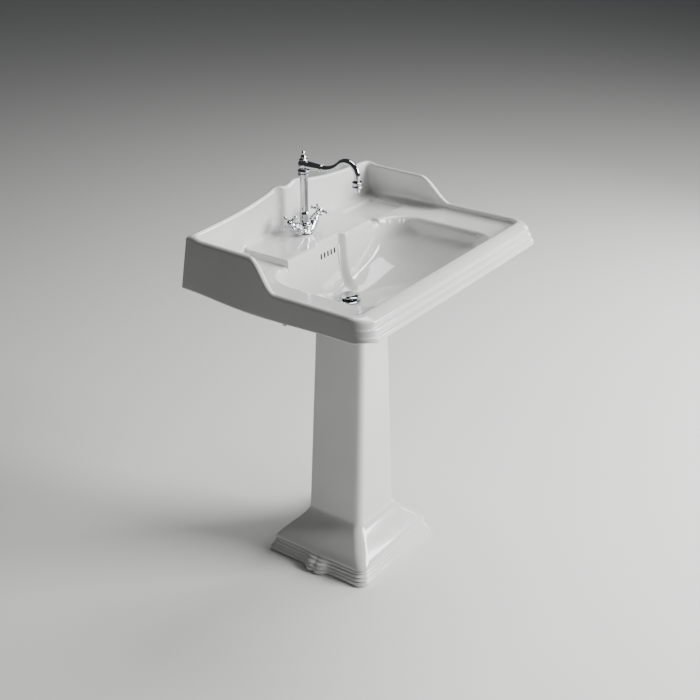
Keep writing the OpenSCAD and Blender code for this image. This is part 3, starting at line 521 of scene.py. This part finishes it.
beside = crowded(0, 351, 7, 0.8, [(26.5, 27.5), (38, 39), (52.5, 53.5)])
beside = np.concatenate([-beside[:0:-1], beside]) / 351
along = crowded(10, 486, 6, 0.8, [(33.5, 34.5), (90.5, 91.5), (153.5, 154.5), (192.5, 193.5),
                                  (267.5, 268.5)])
U, D2 = np.meshgrid(beside, along)
round_front = 28 - np.sqrt(np.maximum(28 ** 2 - np.clip(D2 - (486 - 28), 0, 28) ** 2, 0))
X2 = U * (half_width(UNDER) - 11.5 - round_front)
skin = (places(X2, D2, under_height(X2, D2)).reshape(-1, 3), grid_faces(*X2.shape))
boss = lathe([(34, 30), (35, 28), (35, 0), (23, 0), (23, 32)],
             Matrix.Translation(spot(0, DRAIN_D, BOSS)), 1.5, 64)
underside = new_piece("basin_underside", *joined(skin, boss), glaze, tidy=False)
if underside.data.polygons[10].normal.z > 0:
    underside.data.flip_normals()
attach(underside, "stand")

# %% [markdown]
# ## Overflow slots and bolt holes
# Holes that repeat are one tile each: a small rectangle of glaze with a soft-edged hole and a blind
# pocket behind it. Geometry Nodes set the tile out along a line, as a potter's cutting guide would,
# and the faces that lay there are removed from the surface, so every hole has real depth. The deep
# faces of each pocket are painted near black, as painted shade for the dark inside the hole.

# %% One tile with a hole
def hole_tile(half_w, half_h, round_r, tile_w, tile_h, depth, lift):
    u = np.concatenate([np.linspace(-1, 1, 13), np.ones(11), np.linspace(1, -1, 13), -np.ones(11)])
    v = np.concatenate([-np.ones(13), np.linspace(-1, 1, 13)[1:-1], np.ones(13),
                        np.linspace(1, -1, 13)[1:-1]])
    u, v = u * tile_w, v * tile_h

    def ring(grow, w):
        low, high = np.zeros(len(u)), np.ones(len(u))
        r = round_r + grow
        for _ in range(24):
            k = (low + high) / 2
            qx, qy = abs(u * k) - half_w - grow + r, abs(v * k) - half_h - grow + r
            inside = np.hypot(np.maximum(qx, 0), np.maximum(qy, 0)) + \
                np.minimum(np.maximum(qx, qy), 0) < r
            low, high = np.where(inside, k, low), np.where(inside, high, k)
        return np.stack([u * low, v * low, np.full(len(u), w)], axis=-1)

    rings = [np.stack([u, v, np.full(len(u), lift)], axis=-1), ring(1.2, lift), ring(0.6, lift - 0.12),
             ring(0.2, lift - 0.5), ring(0, lift - 1.2), ring(0, -depth), ring(-half_w * 0.9, -depth)]
    faces = grid_faces(len(rings), len(u), around=True)
    faces.append(list(range((len(rings) - 1) * len(u), len(rings) * len(u))))
    return np.concatenate(rings) * MM, faces

# %% A row of copies, as a Geometry Nodes tree
def new_tree(name, **inputs):
    tree = bpy.data.node_groups.new(name, "GeometryNodeTree")
    tree.interface.new_socket("Geometry", in_out="INPUT", socket_type="NodeSocketGeometry")
    for key, kind in inputs.items():
        tree.interface.new_socket(key.replace("_", " "), in_out="INPUT",
                                  socket_type="NodeSocket" + kind)
    tree.interface.new_socket("Geometry", in_out="OUTPUT", socket_type="NodeSocketGeometry")
    return tree, tree.nodes.new("NodeGroupInput").outputs, tree.nodes.new("NodeGroupOutput").inputs

def add(tree, kind, outlet="Geometry", settings=(), **inputs):
    """Add a node, wire or set its inputs by name, and return one of its outputs."""
    node = tree.nodes.new(kind)
    for key, value in dict(settings).items():
        setattr(node, key, value)
    for key, value in inputs.items():
        place = node.inputs[int(key[1:])] if key[0] == "_" else node.inputs[key.replace("_", " ")]
        if isinstance(value, bpy.types.NodeSocket):
            tree.links.new(value, place)
        else:
            place.default_value = value
    return node.outputs[outlet]

def math(tree, how, a, b=0.0):
    return add(tree, "ShaderNodeMath", "Value", {"operation": how}, _0=a, _1=b)

def grown(name, base, tree, material, **values):
    """Evaluate the tree on a base mesh once, and keep the result as a plain mesh."""
    if len(base) == 1:
        base = bpy.data.objects.new(name + "_base", base[0])
        scene.collection.objects.link(base)
    else:
        base = new_piece(name + "_base", *base, material, tidy=False)
    mod = base.modifiers.new("nodes", "NODES")
    mod.node_group = tree
    keys = {item.name: item.identifier for item in tree.interface.items_tree
            if item.in_out == "INPUT"}
    for key, value in values.items():
        mod[keys[key.replace("_", " ")]] = value
    evaluated = base.evaluated_get(bpy.context.evaluated_depsgraph_get())
    mesh = bpy.data.meshes.new_from_object(evaluated)
    mesh.name = name
    bpy.data.objects.remove(base)
    mesh.shade_smooth()
    obj = bpy.data.objects.new(name, mesh)
    scene.collection.objects.link(obj)
    print(f"{name}: {len(mesh.polygons)} faces from its nodes")
    return obj

row, given, out = new_tree("row of copies", Count="Int", Pitch="Float", Glaze="Material",
                           Pocket="Material")
line = add(row, "GeometryNodeMeshLine", "Mesh", Count=given["Count"], Offset=(1, 0, 0))
index = add(row, "GeometryNodeInputIndex", "Index")
middle = math(row, "MULTIPLY", math(row, "SUBTRACT", given["Count"], 1.0), 0.5)
across_row = math(row, "MULTIPLY", math(row, "SUBTRACT", index, middle), given["Pitch"])
line = add(row, "GeometryNodeSetPosition", Geometry=line,
           Position=add(row, "ShaderNodeCombineXYZ", "Vector", X=across_row))
copies = add(row, "GeometryNodeInstanceOnPoints", "Instances", Points=line,
             Instance=given["Geometry"])
copies = add(row, "GeometryNodeRealizeInstances", Geometry=copies)
copies = add(row, "GeometryNodeSetMaterial", Geometry=copies, Material=given["Glaze"])
height = add(row, "ShaderNodeSeparateXYZ", "Z", Vector=add(row, "GeometryNodeInputPosition",
                                                           "Position"))
# faces more than 2.5 mm deep take the Pocket material, which paints shade inside the hole
row.links.new(add(row, "GeometryNodeSetMaterial", Geometry=copies, Material=given["Pocket"],
                  Selection=math(row, "LESS_THAN", height, -0.0025)), out[0])
print("tree:", row.name, "with", len(row.nodes), "nodes")

# %% Set the slots on the panel and the bolt holes in the back
def clear_faces(piece, low, high):
    """Remove the faces whose centres lie between two corners given as (x, d, z)."""
    a, b = spot(*low), spot(*high)
    work = bmesh.new()
    work.from_mesh(piece.data)
    box = [sorted(pair) for pair in zip(a, b)]
    gone = [f for f in work.faces
            if all(lo < c < hi for c, (lo, hi) in zip(f.calc_center_median(), box))]
    bmesh.ops.delete(work, geom=gone, context="FACES")
    work.to_mesh(piece.data)
    work.free()
    print("removed", len(gone), "faces of", piece.name)

def place_mesh(piece, matrix):
    piece.data.transform(matrix)
    piece.data.update()
    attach(piece, "stand")

SLOT_Z = 786
near_d = np.linspace(PANEL_D - 6, PANEL_D + 20, 400)
wall_z = inside_height(np.zeros(400), near_d)
slot_d, low_d = np.interp([-SLOT_Z, -SLOT_Z + 10], -wall_z, near_d)
lean_back = Matrix.Rotation(np.arctan2(10, abs(slot_d - low_d)), 4, "X")
print("the overflow wall is", round(float(slot_d), 1), "mm from the back at the slots")
# the slots' pockets take the near-black painted shade
slots = grown("overflow_slots", hole_tile(2.6, 8.5, 2.5, 6.5, 11, 24, 0.15), row, glaze,
              Count=5, Pitch=0.013, Glaze=glaze, Pocket=pocket_shade)
place_mesh(slots, Matrix.Translation(spot(0, slot_d, SLOT_Z)) @ lean_back)
clear_faces(inside, (-31.5, 120, SLOT_Z - 9.5), (31.5, 150, SLOT_Z + 9.5))
stored = np.empty(len(inside.data.vertices) * 3)
inside.data.attributes["cast_normal"].data.foreach_get("vector", stored)
inside.data.normals_split_custom_set_from_vertices(stored.reshape(-1, 3).tolist())
inside.data.attributes.remove(inside.data.attributes["cast_normal"])
# the bolt holes' pockets take the same near-black painted shade
bolts = grown("wall_bolt_holes", hole_tile(7, 7, 6.99, 12, 12, 34, -0.15), row, glaze,
              Count=2, Pitch=0.280, Glaze=glaze, Pocket=pocket_shade)
place_mesh(bolts, Matrix.Translation(spot(0, 0, 808)) @ Matrix.Rotation(radians(-90), 4, "X"))
for side in (-1, 1):
    clear_faces(walls, (side * 140 - 8, -1, 800), (side * 140 + 8, 1, 816))

# %% [markdown]
# ## The pedestal
# The pedestal is a C in plan, open towards the wall, so that the waste and pipes hide inside it.
# One closed loop of points follows the C, outside and inside, and is repeated up the height while
# its sizes change: three beads on the foot, an S-shaped sweep in to the column, and a slow taper.
# On each side the foot swells into a small cupid's bow. Lofting a loop is the shortest way to say
# all of that, and it gives a closed solid that can take real screw holes.

# %% Sizes of the pedestal at height z
FOOT_W, FOOT_D, FLARE_TOP, NECK, MIDDLE = 161, 148, 125, 668, 203

def spread_out(z):
    return 0.86 * (1 - ease(max(0, (z - 36) / (FLARE_TOP - 36)) ** 0.9))

def bead_inset(z):
    if z < 12:
        return 2.2 * max(0, 1 - z / 3) ** 2 + 1.5 * max(0, (z - 10) / 2) ** 2
    i, t = divmod((z - 12) / 8, 1)
    return 2.0 + 4 * i + 2.4 * (1 - sin(min(1, t * 1.15) * pi)) + 2.0 * t ** 2

def pedestal_sizes(z):
    """Half width, half depth and corner radius of the outside."""
    column_w = 80 + (57 - 80) * (z - FLARE_TOP) / (NECK - FLARE_TOP)
    column_d = 77 + (67 - 77) * (z - FLARE_TOP) / (NECK - FLARE_TOP)
    if z >= FLARE_TOP:
        return column_w, column_d, 22 - 4 * (z - FLARE_TOP) / (NECK - FLARE_TOP)
    if z > 36:
        e = spread_out(z)
        return 80 + (FOOT_W - 80) * e, 77 + (FOOT_D - 77) * e, 22 + 3 * e
    return FOOT_W - bead_inset(z), FOOT_D - bead_inset(z), 25

def side_bow(d, z):
    from_middle = abs(d - 205)
    shape = np.exp(-(from_middle / 32) ** 4) - 0.22 * np.exp(-(from_middle / 6) ** 2)
    return 17 * shape * (1 - ease((z - 20) / 26))

# %% Loft the C
def c_loop(z):
    hw, hd, r = pedestal_sizes(z)
    if z < FLARE_TOP:
        inner_w, inner_front = 88 - 20 * z / FLARE_TOP, MIDDLE + 81 - 16 * z / FLARE_TOP
    else:
        inner_w, inner_front = hw - 12, MIDDLE + hd - 12
    back, front = MIDDLE - hd, MIDDLE + hd
    q = np.linspace(0, pi / 2, 12)
    side_d = np.linspace(back + 4, front - r, 90)
    x = np.concatenate([np.linspace(inner_w + 2, hw - 4, 14), hw - 4 + 4 * np.sin(q[1:-1]),
                        hw + side_bow(side_d, z), hw - r + r * np.cos(q[1:-1]),
                        np.linspace(hw - r, 0, 30)])
    d = np.concatenate([np.full(14, back), back + 4 - 4 * np.cos(q[1:-1]), side_d,
                        front - r + r * np.sin(q[1:-1]), np.full(30, front)])
    inner_d = np.linspace(inner_front - 12, back + 2, 30)
    ix = np.concatenate([np.linspace(0, inner_w - 12, 12), inner_w - 12 + 12 * np.sin(q[1:-1]),
                         np.full(30, inner_w)])
    inner = np.concatenate([np.full(12, inner_front), inner_front - 12 + 12 * np.cos(q[1:-1]),
                            inner_d])
    out_x, out_d = np.concatenate([x, -x[-2::-1]]), np.concatenate([d, d[-2::-1]])
    in_x, in_d = np.concatenate([-ix[::-1], ix[1:]]), np.concatenate([inner[::-1], inner[1:]])
    return places(np.concatenate([out_x, in_x]), np.concatenate([out_d, in_d]), z)

levels = np.concatenate([[0, 0.4, 1, 2, 3.5], np.linspace(5, 36, 44), np.linspace(38, 125, 44),
                         np.linspace(140, 655, 24), [661, 665, 667.2, 668]])
loops = np.array([c_loop(z) for z in levels])
count = loops.shape[1]
faces = grid_faces(len(levels), count, around=True)
faces += [list(range(count)), list(range((len(levels) - 1) * count, len(levels) * count))]
pedestal = new_piece("pedestal_shell", loops.reshape(-1, 3), faces, glaze)

# %% Drill the floor screw holes
def drilled(piece, outline, places_at):
    for where in places_at:
        cutter = new_piece("cutter", *lathe(outline, Matrix.Translation(spot(*where)), 0.01, 40), glaze)
        cut = piece.modifiers.new("drill", "BOOLEAN")
        cut.object, cut.solver = cutter, "EXACT"
        mesh = bpy.data.meshes.new_from_object(
            piece.evaluated_get(bpy.context.evaluated_depsgraph_get()))
        piece.modifiers.clear()
        piece.data = mesh
        bpy.data.objects.remove(cutter)
    mesh.shade_smooth()
    print(piece.name, "has", len(places_at), "holes and", len(mesh.polygons), "faces")

drilled(pedestal, [(0, -5), (4, -5), (4, 11), (9.6, 13), (9.6, 60), (0, 60)],
        [(-112, 107, 0), (112, 107, 0)])
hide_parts("pedestal")
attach(pedestal, "stand")

# %% [markdown]
# ## The tap
# A traditional bridge of chrome: a round base with two barrels that rise like a V, a pillar, a
# turned head with a finial, and a swan neck. Nearly every part comes off a lathe in a real factory,
# so each is an outline turned about its own axis here too; the neck is a bent tube, so it is swept.

# %% Where the tap's parts stand
TAP_D, HEAD = 62, 993

def up(z, d=TAP_D):
    return Matrix.Translation(spot(0, d, z))

def barrel(side):
    return Matrix.Translation(spot(0, TAP_D, 820)) @ Matrix.Rotation(side * radians(52), 4, "Y")

def fit(piece, body, slot, *nodes):
    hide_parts(*nodes)
    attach(piece, body)

# %% Base and barrels
base = lathe([(0, 2), (20.5, 2), (20.5, 3.6), (19.6, 4.6), (17, 5.4), (16.1, 8), (16, 12), (16, 21),
              (15, 22), (0, 22)], up(LEDGE), 1.0, 96)
arms = []
for side in (-1, 1):
    verts, faces = lathe([(0, 2), (14.5, 2), (14.5, 30), (14.5, 38.5), (13.2, 39.6), (13.2, 41),
                          (14.5, 42.2), (14.5, 45), (13.5, 46), (0, 46)], barrel(side), 0.7, 80)
    verts[:, 2] = np.maximum(verts[:, 2], (LEDGE + 2.6) * MM)
    arms.append((verts, faces))
fit(new_piece("tap_base", *joined(base, *arms), chrome), "stand", "chrome", "tap_body")

# %% Pillar, spout and nozzle
pillar = lathe([(0, 22), (13, 22), (13, 25.4), (11.9, 27), (11.5, 30), (11.5, 43.5), (12, 45.5),
                (13, 46.5), (13, 48.6), (11, 50.6), (9.9, 53), (9.4, 58), (9.4, 134), (10, 138.5),
                (14, 141), (14, 146.4), (13.4, 147), (11, 147.1), (11, 147.9), (0, 147.9)],
               up(LEDGE), 1.0, 80)
fit(new_piece("tap_pillar", *pillar, chrome), "stand", "chrome", "pillar")

ball = [(13 * cos(a), 167 + 13 * sin(a)) for a in np.linspace(radians(-46), radians(90), 16)]
head = lathe([(0, 148), (13.6, 148), (14, 149), (14, 153.4), (11.8, 155), (9.6, 156.2)] + ball,
             up(LEDGE), 0.8, 80)
reach = np.concatenate([np.linspace(0, 49, 14), [50, 50.3, 51, 52.5, 54, 54.7, 55, 56]])
girth = np.concatenate([np.linspace(10.2, 7.6, 14), [7.6, 8.9, 9.5, 9.7, 9.5, 8.9, 7.3, 7.2]])
line = [(0, TAP_D + r, HEAD) for r in reach]
RISE_R, TOP_BEND, rise = 68.57, 28, radians(44.76)
line += [(0, 118 + RISE_R * sin(a), HEAD + RISE_R * (1 - cos(a)))
         for a in np.linspace(0, rise, 25)[1:]]
line += [(0, 186 + TOP_BEND * cos(a), HEAD + TOP_BEND * sin(a))
         for a in np.linspace(pi / 2 + rise, 0, 47)[1:]]
line += [(0, 214, z) for z in (990, 986, 981)]
girth = np.concatenate([girth, np.full(len(line) - len(girth), 7.2)])
neck = sweep(line, girth, 48)
fit(new_piece("swan_neck", *joined(head, neck), chrome), "spout", "chrome", "spout")

nozzle = lathe([(0, 11.9), (6.5, 11.9), (6.5, 0.7), (7.1, 0), (7.8, 0), (8, 0.8), (8, 8.2),
                (9, 9.3), (12, 10.2), (12, 12.9), (10.4, 14), (10.2, 17), (10.4, 20), (12, 21),
                (12, 23.2), (10, 24.2), (0, 24.4)], up(LEDGE + 130, 214), 0.5, 64)
fit(new_piece("nozzle", *nozzle, chrome), "spout", "chrome", "spout_nozzle")
tip = lathe([(0, 175.8), (7.5, 175.8), (10.5, 178), (10.2, 179.4), (8, 180.6), (5.6, 181.4), (6.6, 183),
             (7, 184.6), (5.6, 188), (3.2, 190.6), (3, 191.6), (4, 193.6), (4, 195), (2.6, 198.6),
             (0, 200)], up(LEDGE), 0.9, 64)
fit(new_piece("head_finial", *tip, chrome), "spout", "chrome", "finial")

# %% [markdown]
# ## Cross handles
# The four arms of a cross handle are one turned arm, copied round the hub. That is what Geometry
# Nodes are for: the number of arms and the angle of the first are inputs, so the hot and the cold
# handle use the same tree and only stop at different angles, as two real handles do.

# %% The tree for arms round a hub
cross, given, out = new_tree("arms round a hub", Arms="Int", First_Angle="Float", Metal="Material")
points = add(cross, "GeometryNodeMeshLine", "Mesh", Count=given["Arms"], Offset=(0, 0, 0))
index = add(cross, "GeometryNodeInputIndex", "Index")
turn = math(cross, "MULTIPLY", index, math(cross, "DIVIDE", 2 * pi, given["Arms"]))
turn = math(cross, "ADD", turn, given["First Angle"])
facing = add(cross, "FunctionNodeEulerToRotation", "Rotation",
             Euler=add(cross, "ShaderNodeCombineXYZ", "Vector", Z=turn))
spokes = add(cross, "GeometryNodeInstanceOnPoints", "Instances", Points=points,
             Instance=given["Geometry"], Rotation=facing)
spokes = add(cross, "GeometryNodeRealizeInstances", Geometry=spokes)
cross.links.new(add(cross, "GeometryNodeSetMaterial", Geometry=spokes, Material=given["Metal"]),
                out[0])

# %% Bonnets, hubs, arms and index caps
arm = lathe([(0, 4), (4.2, 4), (4, 8), (3.1, 15.4), (3.8, 15.9), (3.8, 16.6), (3.1, 17),
             (4.3, 18.2), (4.8, 20.2), (4.3, 22.6), (2.5, 24.5), (0, 25)],
            Matrix.Rotation(radians(90), 4, "Y"), 0.8, 32)
for side, word, angle in ((-1, "hot", 60), (1, "cold", 12)):
    bonnet = lathe([(0, 45.9), (12.5, 45.9), (12.5, 48.6), (11.2, 50), (11.2, 52), (10.2, 53),
                    (10.2, 55.4), (9.4, 56), (0, 56)], barrel(side), 0.6, 72)
    fit(new_piece(word + "_bonnet_ring", *bonnet, chrome), "stand", "chrome", word + "_bonnet")
    hub = lathe([(0, 58), (7, 58), (8.4, 60), (8.5, 62), (6.6, 65.6), (6.6, 66.6), (8.6, 69.4),
                 (8.6, 77.4), (8.1, 79.2), (7, 80), (0, 80)], barrel(side), 0.8, 64)
    hub = new_piece(word + "_handle_hub", *hub, chrome)
    spokes = grown(word + "_handle_arms", arm, cross, chrome, Arms=4, First_Angle=radians(angle),
                   Metal=chrome)
    spokes.data.transform(barrel(side) @ Matrix.Translation((0, 0, 74 * MM)))
    fit(hub, word + "_control", "chrome", word + "_handle")
    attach(spokes, word + "_control")
    cap = lathe([(0, 80), (6, 80), (6, 80.8), (5.4, 81.6), (3.6, 82.6), (0, 83)], barrel(side), 0.5, 48)
    fit(new_piece(word + "_index_cap", *cap, chrome), word + "_control", "chrome", word + "_cap")

# %% Wall rosettes of the valves
plates = []
for side in (-1, 1):
    plates.append(lathe([(11.3, 0), (14, 0), (17, 1.2), (20.4, 4.4), (21, 6), (21, 8), (11.3, 8)],
                        Matrix.Translation(spot(side * 60, 8, 640)) @ Matrix.Rotation(pi / 2, 4, "X"),
                        0.8, 48))
fit(new_piece("valve_rosettes", *joined(*plates), chrome), "stand", "chrome", "stop_rosettes")

# %% The domed plug
dome = lathe([(0, -5), (13, -5), (13, 0), (23.2, 0), (24, 0.8), (23.8, 1.8), (22, 3.2), (16, 5),
              (8, 6.2), (0, 6.6)], up(694.8, DRAIN_D), 1.2, 96)
fit(new_piece("plug_dome", *dome, chrome), "plug", "chrome", "plug_cap")

# %% [markdown]
# ## Braided hoses
# A flexible tap tail is a rubber tube inside a woven steel sleeve. The tree resamples the route,
# sweeps the inner tube along it, and copies the route into two families of wires, which wind round
# it in opposite senses. The winding is a rule of the distance along the hose, so the braid follows
# every bend, and the wires stay a fixed distance from the centre line.

# %% The tree for a braided sleeve
braid, given, out = new_tree("braided sleeve", Core_Radius="Float", Wire_Radius="Float",
                             Wires="Int", Turns="Float", Metal="Material")
route = add(braid, "GeometryNodeMeshToCurve", "Curve", Mesh=given["Geometry"])
route = add(braid, "GeometryNodeResampleCurve", "Curve", Curve=route, Count=200)
core_ring = add(braid, "GeometryNodeCurvePrimitiveCircle", "Curve", Radius=given["Core Radius"],
                Resolution=24)
core = add(braid, "GeometryNodeCurveToMesh", "Mesh", Curve=route, Profile_Curve=core_ring,
           Fill_Caps=True)
pairs = math(braid, "MULTIPLY", given["Wires"], 2.0)
copied = braid.nodes.new("GeometryNodeDuplicateElements")
copied.domain = "SPLINE"
braid.links.new(route, copied.inputs["Geometry"])
braid.links.new(pairs, copied.inputs["Amount"])
which = copied.outputs["Duplicate Index"]
sense = math(braid, "SUBTRACT", math(braid, "MULTIPLY", math(braid, "LESS_THAN", which,
                                                            given["Wires"]), 2.0), 1.0)
share = add(braid, "GeometryNodeSplineParameter", "Factor")
wind = math(braid, "MULTIPLY", math(braid, "MULTIPLY", share, math(braid, "MULTIPLY",
                                    given["Turns"], 2 * pi)), sense)
wind = math(braid, "ADD", wind, math(braid, "MULTIPLY", which,
                                     math(braid, "DIVIDE", 2 * pi, given["Wires"])))
away = math(braid, "ADD", given["Core Radius"], given["Wire Radius"])
normal_way = add(braid, "GeometryNodeInputNormal", "Normal")
side_way = add(braid, "ShaderNodeVectorMath", "Vector", {"operation": "CROSS_PRODUCT"},
               _0=add(braid, "GeometryNodeInputTangent", "Tangent"), _1=normal_way)

def scaled(vector, amount):
    return add(braid, "ShaderNodeVectorMath", "Vector", {"operation": "SCALE"}, _0=vector,
               Scale=amount)

shift = add(braid, "ShaderNodeVectorMath", "Vector", {"operation": "ADD"},
            _0=scaled(normal_way, math(braid, "MULTIPLY", math(braid, "COSINE", wind), away)),
            _1=scaled(side_way, math(braid, "MULTIPLY", math(braid, "SINE", wind), away)))
wires = add(braid, "GeometryNodeSetPosition", Geometry=copied.outputs["Geometry"], Offset=shift)
wire_ring = add(braid, "GeometryNodeCurvePrimitiveCircle", "Curve", Radius=given["Wire Radius"],
                Resolution=4)
wires = add(braid, "GeometryNodeCurveToMesh", "Mesh", Curve=wires, Profile_Curve=wire_ring,
            Fill_Caps=True)
both = braid.nodes.new("GeometryNodeJoinGeometry")
braid.links.new(core, both.inputs[0])
braid.links.new(wires, both.inputs[0])
both = add(braid, "GeometryNodeRealizeInstances", Geometry=both.outputs[0])
braid.links.new(add(braid, "GeometryNodeSetMaterial", Geometry=both, Material=given["Metal"]), out[0])

# %% Two hoses, from the tap to the valves
HOSE_TOP, HOSE_END, VALVE_X, VALVE_D = 828, 670, 60, 42
for side, word in ((-1, "hot"), (1, "cold")):
    t = np.linspace(0, 1, 30)
    swing = np.where(t < 0.2, 0, ease((t - 0.2) / 0.72))
    route = places(side * (7 + (VALVE_X - 7) * swing), 58 + (VALVE_D - 58) * swing,
                   HOSE_TOP + (HOSE_END - HOSE_TOP) * t)
    edges = [(i, i + 1) for i in range(29)]
    thread = bpy.data.meshes.new("route")
    thread.from_pydata([tuple(v) for v in route], edges, [])
    hose = grown(word + "_braided_hose", (thread,), braid, steel, Core_Radius=0.0042,
                 Wire_Radius=0.0004, Wires=10, Turns=8.0, Metal=steel)
    fit(hose, "stand", "braid", word + "_hose")

# %% Finishes for the CAD parts that show as they are
CHROME = ("waste_body waste_nut plug_cap trap_inlet trap_top_nut trap_body trap_cup trap_outlet_nut "
          "outlet_pipe outlet_rosette hose_nuts hot_stop cold_stop stop_glands stop_rosettes "
          "hot_stop_handle cold_stop_handle tap_body pillar spout spout_nozzle finial hot_bonnet "
          "cold_bonnet hot_handle cold_handle").split()
BRASS = "tap_clamp_plate tap_stud tap_nut hot_spindle cold_spindle".split()
RUBBER = ("seating_pads tap_seal tap_clamp_rubber pillar_oring waste_top_seal waste_bottom_seal "
          "plug_ring trap_top_washer trap_cup_seal trap_outlet_washer").split()
by_node = dict.fromkeys(CHROME, chrome) | dict.fromkeys(BRASS, brass) | dict.fromkeys(RUBBER, rubber)
by_node |= {"aerator": grey_plastic, "latch_cartridge": porcelain, "latch_spring": steel,
            "plug_stem": steel, "hot_cap": porcelain, "cold_cap": porcelain, "hot_hose": steel,
            "cold_hose": steel}
by_node |= dict.fromkeys("basin backsplash left_wing right_wing pedestal".split(), glaze)
for name, node in NODES.items():
    for i in range(max(1, len(node.data.materials))):
        if len(node.data.materials) <= i:
            node.data.materials.append(by_node[name])
        node.data.materials[i] = by_node[name]
print("finished", len(NODES), "CAD parts")

# %% [markdown]
# ## Floor, light and camera
# A pale floor and three large soft lamps, as in a small product studio. The key lamp stands in
# front and to the right, so the left faces of the glaze fall into soft shade, which draws the
# shape of the bowl and the pedestal. The sky is dim, which gives the chrome its dark reflections.

# %% Floor
half = 40.0
floor = new_piece("floor", [(-half, -half, 0), (half, -half, 0), (half, half, 0), (-half, half, 0)],
                  [(0, 1, 2, 3)], bpy.data.materials.new("pale floor"))
paint = floor.data.materials[0]
paint.use_nodes = True
paint.node_tree.nodes["Principled BSDF"].inputs["Base Color"].default_value = (0.80, 0.795, 0.78, 1)
paint.node_tree.nodes["Principled BSDF"].inputs["Roughness"].default_value = 0.6
print("the floor is", 2 * half, "m wide")

# %% Lamps and sky
world = bpy.data.worlds.new("studio")
world.use_nodes = True
world.node_tree.nodes["Background"].inputs["Color"].default_value = (0.55, 0.57, 0.60, 1)
world.node_tree.nodes["Background"].inputs["Strength"].default_value = 0.09
scene.world = world
print("the sky's strength is", round(world.node_tree.nodes["Background"].inputs[1].default_value, 2))

def lamp(name, where, size, power, aim=(0, 0, 0.6)):
    light = bpy.data.lights.new(name, "AREA")
    light.shape = "RECTANGLE"
    light.size, light.size_y, light.energy = size[0], size[1], power
    obj = bpy.data.objects.new(name, light)
    obj.location = where
    obj.rotation_euler = (Vector(aim) - Vector(where)).to_track_quat("-Z", "Y").to_euler()
    scene.collection.objects.link(obj)

lamp("key", (1.8, -3.0, 2.1), (1.9, 1.9), 330)
lamp("fill", (2.6, -0.6, 1.5), (1.2, 1.2), 30)
lamp("top", (0.9, -0.2, 3.0), (1.5, 1.2), 48)

# %% Camera
camera = bpy.data.objects.new("camera", bpy.data.cameras.new("camera"))
camera.data.lens, camera.data.sensor_width = 60.58, 36
camera.location = spot(-2076.8, 1681.5, 1823.3)
camera.rotation_euler = Vector((0.7277, 0.5211, -0.4457)).to_track_quat("-Z", "Y").to_euler()
scene.collection.objects.link(camera)
scene.camera = camera
print("the camera's lens is", camera.data.lens, "mm")
